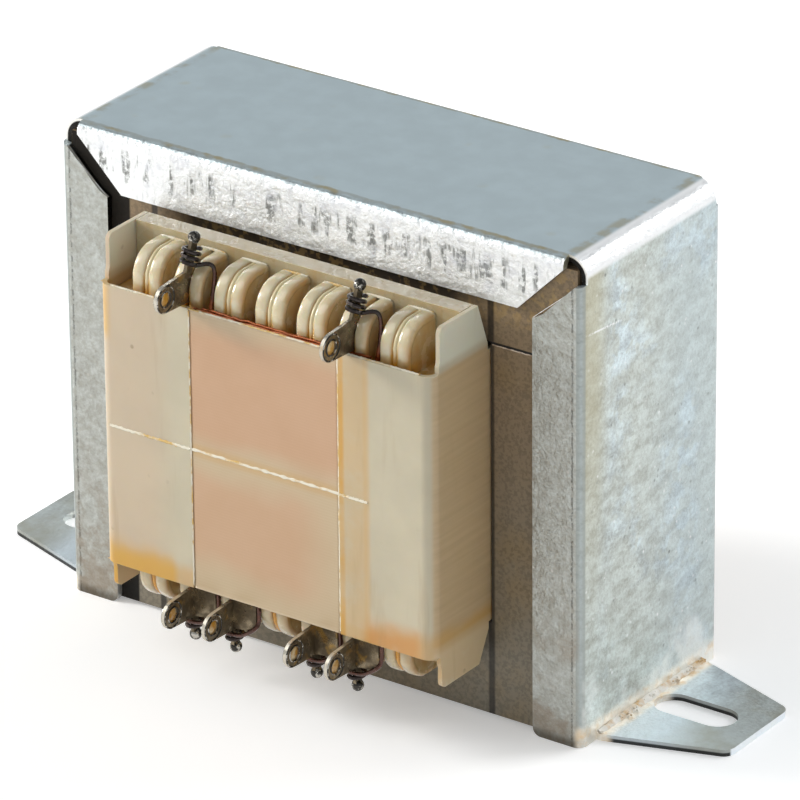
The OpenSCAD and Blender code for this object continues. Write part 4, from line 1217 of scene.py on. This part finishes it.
class TRANSFORMER_OT_tags(bpy.types.Operator):
    """Finish the solder tags, with tinned rims round their eyelets and varnish in the holes"""
    bl_idname = "transformer.tags"
    bl_label = "Solder tags"

    def execute(self, context):
        sizes, colours, _ = settings()
        dress(tag_finish(colours), *UPPER_TAGS, *LOWER_TAGS)
        leg = sizes.leg_height / MM / 2
        end = sizes.eyelet_radius / MM
        hole = sizes.eyelet_hole / MM
        tube = sizes.rim_radius / MM
        rims, films = [], []
        for k, name in enumerate(UPPER_TAGS + LOWER_TAGS):
            lo, hi = box_mm(name)
            x = holder_places(sizes)[tag_holder(name, sizes)]
            y = lo[1] + end
            z = lo[2] + leg if name in UPPER_TAGS else hi[2] - leg
            for side in (-1, 1):
                for radius in (hole + tube * 0.4, end - tube * 1.1):
                    rims.append(ring((x + side * TAG_SHEET / 2, y, z), X, Y, radius, tube))
            films.append(drop((x, y, z), (0.13, hole, hole), 80 + k))
        piece("tinned_rims", rims, shared("tin_solder", solder_finish, colours))
        piece("eyelet_varnish", films, shared("amber_varnish", varnish_finish, colours))
        return {"FINISHED"}


class TRANSFORMER_OT_leads(bpy.types.Operator):
    """Finish the leads and solder, and lay the strands that run through the notches"""
    bl_idname = "transformer.leads"
    bl_label = "Leads and solder"

    def execute(self, context):
        sizes, colours, _ = settings()
        dress(lead_finish(colours), *(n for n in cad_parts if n.startswith("lead_")))
        dress(shared("tin_solder", solder_finish, colours),
              *(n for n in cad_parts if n.startswith("solder_")))
        upper = end_flanges()[0]
        places = holder_places(sizes)
        gaps = (places[:-1] + places[1:]) / 2
        radius = sizes.strand_radius / MM
        plate = plate_face()
        parts = [self.tape_strand(k, gaps[4 + k % 2], upper, radius) for k in range(2)]
        for gap in (2, 3, 5):
            for k, dx in enumerate((-0.4, 0.4)):
                x = gaps[gap] + dx
                path = curve([(x, plate - 0.2, upper + 0.5), (x + 0.05, plate - 1.4, upper + 0.4),
                              (x, plate - 2.9, upper + 0.25), (x - 0.04, plate - 4.3, upper + 0.2),
                              (x, plate - 5.0, upper + 0.1 - 0.1 * k)], 26)
                parts.append(strand(path, radius))
        piece("notch_strands", parts, copper_finish(colours, "bare_copper", 0.25))
        return {"FINISHED"}

    @staticmethod
    def tape_strand(k, end, upper, radius, count=60):
        """Strand k behind the tape's upper edge: a level line that wavers along y and z."""
        y = box_mm("left_cover")[0][1] + (0.78, 0.95)[k]
        z = upper + (1.0, 1.22)[k]
        t = np.linspace(0, 1, count)
        path = line((cover_lips()[0] + 0.3 + k, y, z), (end, y, z), count)
        path[:, 1] += 0.05 * waves(t * 3, 15 + k)
        path[:, 2] += 0.12 * waves(t * 2, 25 + k)
        return bead(path, Y, Z, radius, radius, 8)


class TRANSFORMER_OT_varnish(bpy.types.Operator):
    """Add the varnish beads along the seam, the lips and rims of the covers and the ribs"""
    bl_idname = "transformer.varnish"
    bl_label = "Varnish beads"

    def execute(self, context):
        sizes, colours, _ = settings()
        milky = milky_finish()
        piece("seam_varnish", self.seam(sizes), milky)
        piece("lip_varnish", self.lips(sizes), milky)
        piece("rim_varnish", self.rims(sizes), milky)
        # rib beads: milky varnish whose pale colour partly stands in for a highlight
        piece("rib_varnish_and_highlight", self.ribs(sizes), milky)
        piece("pool_varnish", [self.pool()], shared("amber_varnish", varnish_finish, colours))
        return {"FINISHED"}

    @staticmethod
    def seam(sizes):
        """Wavering bead along the level seam: over the left cover, the tape and a little of
        the right cover."""
        middle = end_flanges()[2]
        edge, face, _ = box_mm("left_cover")[0]
        left, right = cover_lips()
        parts = []
        for x0, x1, y, seed in ((edge + 1.2, left, face, 31), (left, right, face + TAPE_INSET, 32),
                                (right, right + 3.7, face, 33)):
            count = int(abs(x1 - x0) * 7) + 8
            path = line((x0, y, middle), (x1, y, middle), count)
            path[:, 2] += 0.06 * waves(np.linspace(0, 1, count) * 2, seed)
            width = uneven(count, sizes.seam_width / MM, 0.55, 3, seed + 7)
            parts.append(bead(path, Z, Y, width, 0.09, 10))
        return parts

    @staticmethod
    def lips(sizes, count=160):
        """Flat upright beads where the tape meets the lips of the covers."""
        upper, lower, _ = end_flanges()
        y = box_mm("left_cover")[0][1] + 0.06
        rim = sizes.cover_rim / MM
        left, right = cover_lips()
        parts = []
        for x, seed in ((left + 0.05, 41), (right - 0.05, 42)):
            path = line((x, y, lower - rim + 0.3), (x, y, upper + rim - 0.3), count)
            width = uneven(count, sizes.fillet / MM * 0.6, 0.5, 4, seed)
            parts.append(bead(path, X, Y, width, 0.05, 8))
        return parts

    @staticmethod
    def rims(sizes, count=90):
        """Beads along the upper and lower rims of the covers and the tape's upper edge."""
        upper, lower, _ = end_flanges()
        edge, face, _ = box_mm("left_cover")[0]
        rim = sizes.cover_rim / MM
        left, right = cover_lips()
        parts = []
        for x0, x1, seed in ((edge + 1.6, left - 0.3, 51), (right + 0.3, -edge - 1.6, 52)):
            for z, drift in ((upper + rim, 1), (lower - rim, -1)):
                path = line((x0, face + 0.27, z), (x1, face + 0.27, z), count)
                width = uneven(count, 0.17, 0.5, 5, seed + drift)
                parts.append(bead(path, Y, Z, width, width * 0.75, 8))
        y, z = face + 0.16, upper + rim - 0.04
        path = line((left + 0.1, y, z), (right - 0.1, y, z), count)
        path[:, 2] += 0.04 * waves(np.linspace(0, 1, count) * 3, 57)
        width = uneven(count, 0.15, 0.5, 5, 58)
        parts.append(bead(path, Y, Z, width, width * 0.6, 8))
        return parts

    @staticmethod
    def ribs(sizes, count=26):
        """Short tapered beads of milky varnish where the upper ribs meet the terminal plate; their
        pale colour is partly a painted highlight.
        """
        rib = (sizes.rib_thickness + sizes.holder_slot / 2) / MM
        z = end_flanges()[0] + (sizes.flange_to_rib + sizes.rib_radius) / MM + 0.2
        y = plate_face()
        parts = []
        for k, x in enumerate(holder_places(sizes)):
            shrink = 0.25 * (1 + math.sin(3.1 * k))
            path = line((x - rib + shrink, y, z), (x + rib - shrink, y, z), count)
            width = uneven(count, 0.2, 0.4, 2, 60 + k, 0.06)
            parts.append(bead(path, Y, Z, width, width * 0.8, 8))
        return parts

    @staticmethod
    def pool(count=80):
        """Tapered bead in the left cover's upper corner, on the end flange."""
        edge, face, _ = box_mm("left_cover")[0]
        y, z = face + 1.1, end_flanges()[0] + 0.12
        path = line((edge + 1.2, y, z), (cover_lips()[0] - 1.5, y, z), count)
        width = uneven(count, 0.26, 0.4, 4, 77, 0.05)
        return bead(path, Y, Z, width, width * 0.8, 10)


class TRANSFORMER_OT_stage(bpy.types.Operator):
    """Set the floor, the lamps, the even sky and the camera"""
    bl_idname = "transformer.stage"
    bl_label = "Studio"

    def execute(self, context):
        _, colours, studio = settings()
        scene = context.scene
        scene.view_settings.view_transform = "Standard"
        self.floor(colours)
        self.sky(scene, studio)
        target = Vector((0, 0, 0.028))
        self.lamp("key_lamp", (-0.96, -0.39, 0.42), target, 0.34, studio.key, (1.0, 0.985, 0.96))
        self.lamp("front_lamp", (-0.5, -0.44, 0.78), target, 0.7, studio.front, (1.0, 1.0, 1.0))
        self.lamp("rim_lamp", (0.43, 0.76, 0.58), target, 0.7, studio.rim, (0.98, 0.99, 1.0))
        self.camera(scene, studio, target)
        return {"FINISHED"}

    @staticmethod
    def floor(colours, reach=6.0, rings=12, around=48):
        """Round floor: rings whose radius grows with the square of their number. What the
        camera and reflections see of it is a little brighter, and it keeps its shadow."""
        a = np.arange(around) / around * 2 * np.pi
        r = (np.arange(1, rings + 1) / rings) ** 2 * reach
        x = r[:, None] * np.cos(a)
        y = r[:, None] * np.sin(a)
        points = np.vstack([np.stack([x, y, np.zeros_like(x)], -1).reshape(-1, 3), [0, 0, 0]])
        j = np.arange(around)
        middle = np.stack([np.full(around, rings * around), j, (j + 1) % around], -1)
        faces = grid_faces(rings, around)[:, ::-1].tolist() + middle.tolist()
        mesh = bpy.data.meshes.new("floor")
        mesh.from_pydata(points.tolist(), [], faces)
        mesh.update()
        f = Finish("floor", Roughness=0.9)
        b = f.b
        base = b.mix(b.patches(f.place, 0.01, 0.3, 0.7), colours.floor,
                     tuple(v * 0.985 for v in colours.floor))
        b.put(f.shader.inputs["Base Color"], base)
        path = b.node("ShaderNodeLightPath").outputs
        seen = b.most(path["Is Camera Ray"],
                      b.most(path["Is Glossy Ray"], path["Is Transmission Ray"]))
        glow = b.node("ShaderNodeEmission", {"Color": (1.0, 1.0, 1.0),
                                             "Strength": b.times(seen, 0.3)})
        both = b.node("ShaderNodeAddShader", {0: f.shader.outputs[0], 1: glow.outputs[0]})
        b.put(f.out.inputs["Surface"], both.outputs[0])
        mesh.materials.append(f.material)
        floor = bpy.data.objects.new("floor", mesh)
        bpy.context.scene.collection.objects.link(floor)

    @staticmethod
    def sky(scene, studio):
        """Even light from all round, paler near the horizon than overhead."""
        world = bpy.data.worlds.new("studio_sky")
        world.use_nodes = True
        b = Bench(world.node_tree)
        out = b.node("ShaderNodeOutputWorld")
        where = b.node("ShaderNodeTexCoord")
        height = b.node("ShaderNodeSeparateXYZ", {0: where.outputs["Generated"]}).outputs[2]
        fade = b.mix(b.step(height, 0.1, 0.95), (0.95, 0.985, 1.0), (0.42, 0.44, 0.46))
        back = b.node("ShaderNodeBackground", {"Color": fade, "Strength": studio.sky})
        b.put(out.inputs["Surface"], back.outputs[0])
        scene.world = world

    @staticmethod
    def lamp(name, place, target, size, power, tint):
        """Round area lamp at a place, turned to the target."""
        data = bpy.data.lights.new(name, "AREA")
        data.shape = "DISK"
        data.size = size
        data.energy = power
        data.color = tint
        lamp = bpy.data.objects.new(name, data)
        lamp.location = place
        lamp.rotation_euler = (target - Vector(place)).to_track_quat("-Z", "Y").to_euler()
        bpy.context.scene.collection.objects.link(lamp)

    @staticmethod
    def camera(scene, studio, target):
        """The camera's own axes come from azimuth, elevation and roll; a small shift frames it."""
        az, el, roll = studio.azimuth, studio.elevation, studio.roll
        back = Vector((math.sin(az) * math.cos(el), -math.cos(az) * math.cos(el), math.sin(el)))
        right = Vector((math.cos(az), math.sin(az), 0))
        up = back.cross(right)
        across = right * math.cos(roll) - up * math.sin(roll)
        rise = right * math.sin(roll) + up * math.cos(roll)
        data = bpy.data.cameras.new("camera")
        data.sensor_width = 36
        data.lens = studio.lens
        data.shift_x, data.shift_y = studio.shift_across, studio.shift_up
        data.clip_start = 0.05
        data.clip_end = 50
        camera = bpy.data.objects.new("camera", data)
        turn = Matrix((across, rise, back)).transposed()
        camera.matrix_world = Matrix.Translation(target + back * studio.distance) @ turn.to_4x4()
        scene.collection.objects.link(camera)
        scene.camera = camera


OPERATORS = (TRANSFORMER_OT_clamp_frame, TRANSFORMER_OT_core, TRANSFORMER_OT_bobbin,
             TRANSFORMER_OT_covers, TRANSFORMER_OT_windings, TRANSFORMER_OT_tags,
             TRANSFORMER_OT_leads, TRANSFORMER_OT_varnish, TRANSFORMER_OT_stage)


class TRANSFORMER_PT_panel(bpy.types.Panel):
    """Steps that dress the transformer, in order"""
    bl_idname = "TRANSFORMER_PT_panel"
    bl_label = "Transformer"
    bl_space_type = "VIEW_3D"
    bl_region_type = "UI"
    bl_category = "Transformer"

    def draw(self, context):
        for operator in OPERATORS:
            self.layout.operator(operator.bl_idname)


CLASSES = (TransformerSizes, TransformerColours, TransformerStudio, *OPERATORS,
           TRANSFORMER_PT_panel)


def register():
    for c in CLASSES:
        bpy.utils.register_class(c)
    bpy.types.Scene.transformer_sizes = bpy.props.PointerProperty(type=TransformerSizes)
    bpy.types.Scene.transformer_colours = bpy.props.PointerProperty(type=TransformerColours)
    bpy.types.Scene.transformer_studio = bpy.props.PointerProperty(type=TransformerStudio)


def unregister():
    del bpy.types.Scene.transformer_sizes
    del bpy.types.Scene.transformer_colours
    del bpy.types.Scene.transformer_studio
    for c in reversed(CLASSES):
        bpy.utils.unregister_class(c)


def main():
    register()
    for operator in OPERATORS:
        group_name, name = operator.bl_idname.split(".")
        getattr(getattr(bpy.ops, group_name), name)()


if __name__ == "__main__":
    main()
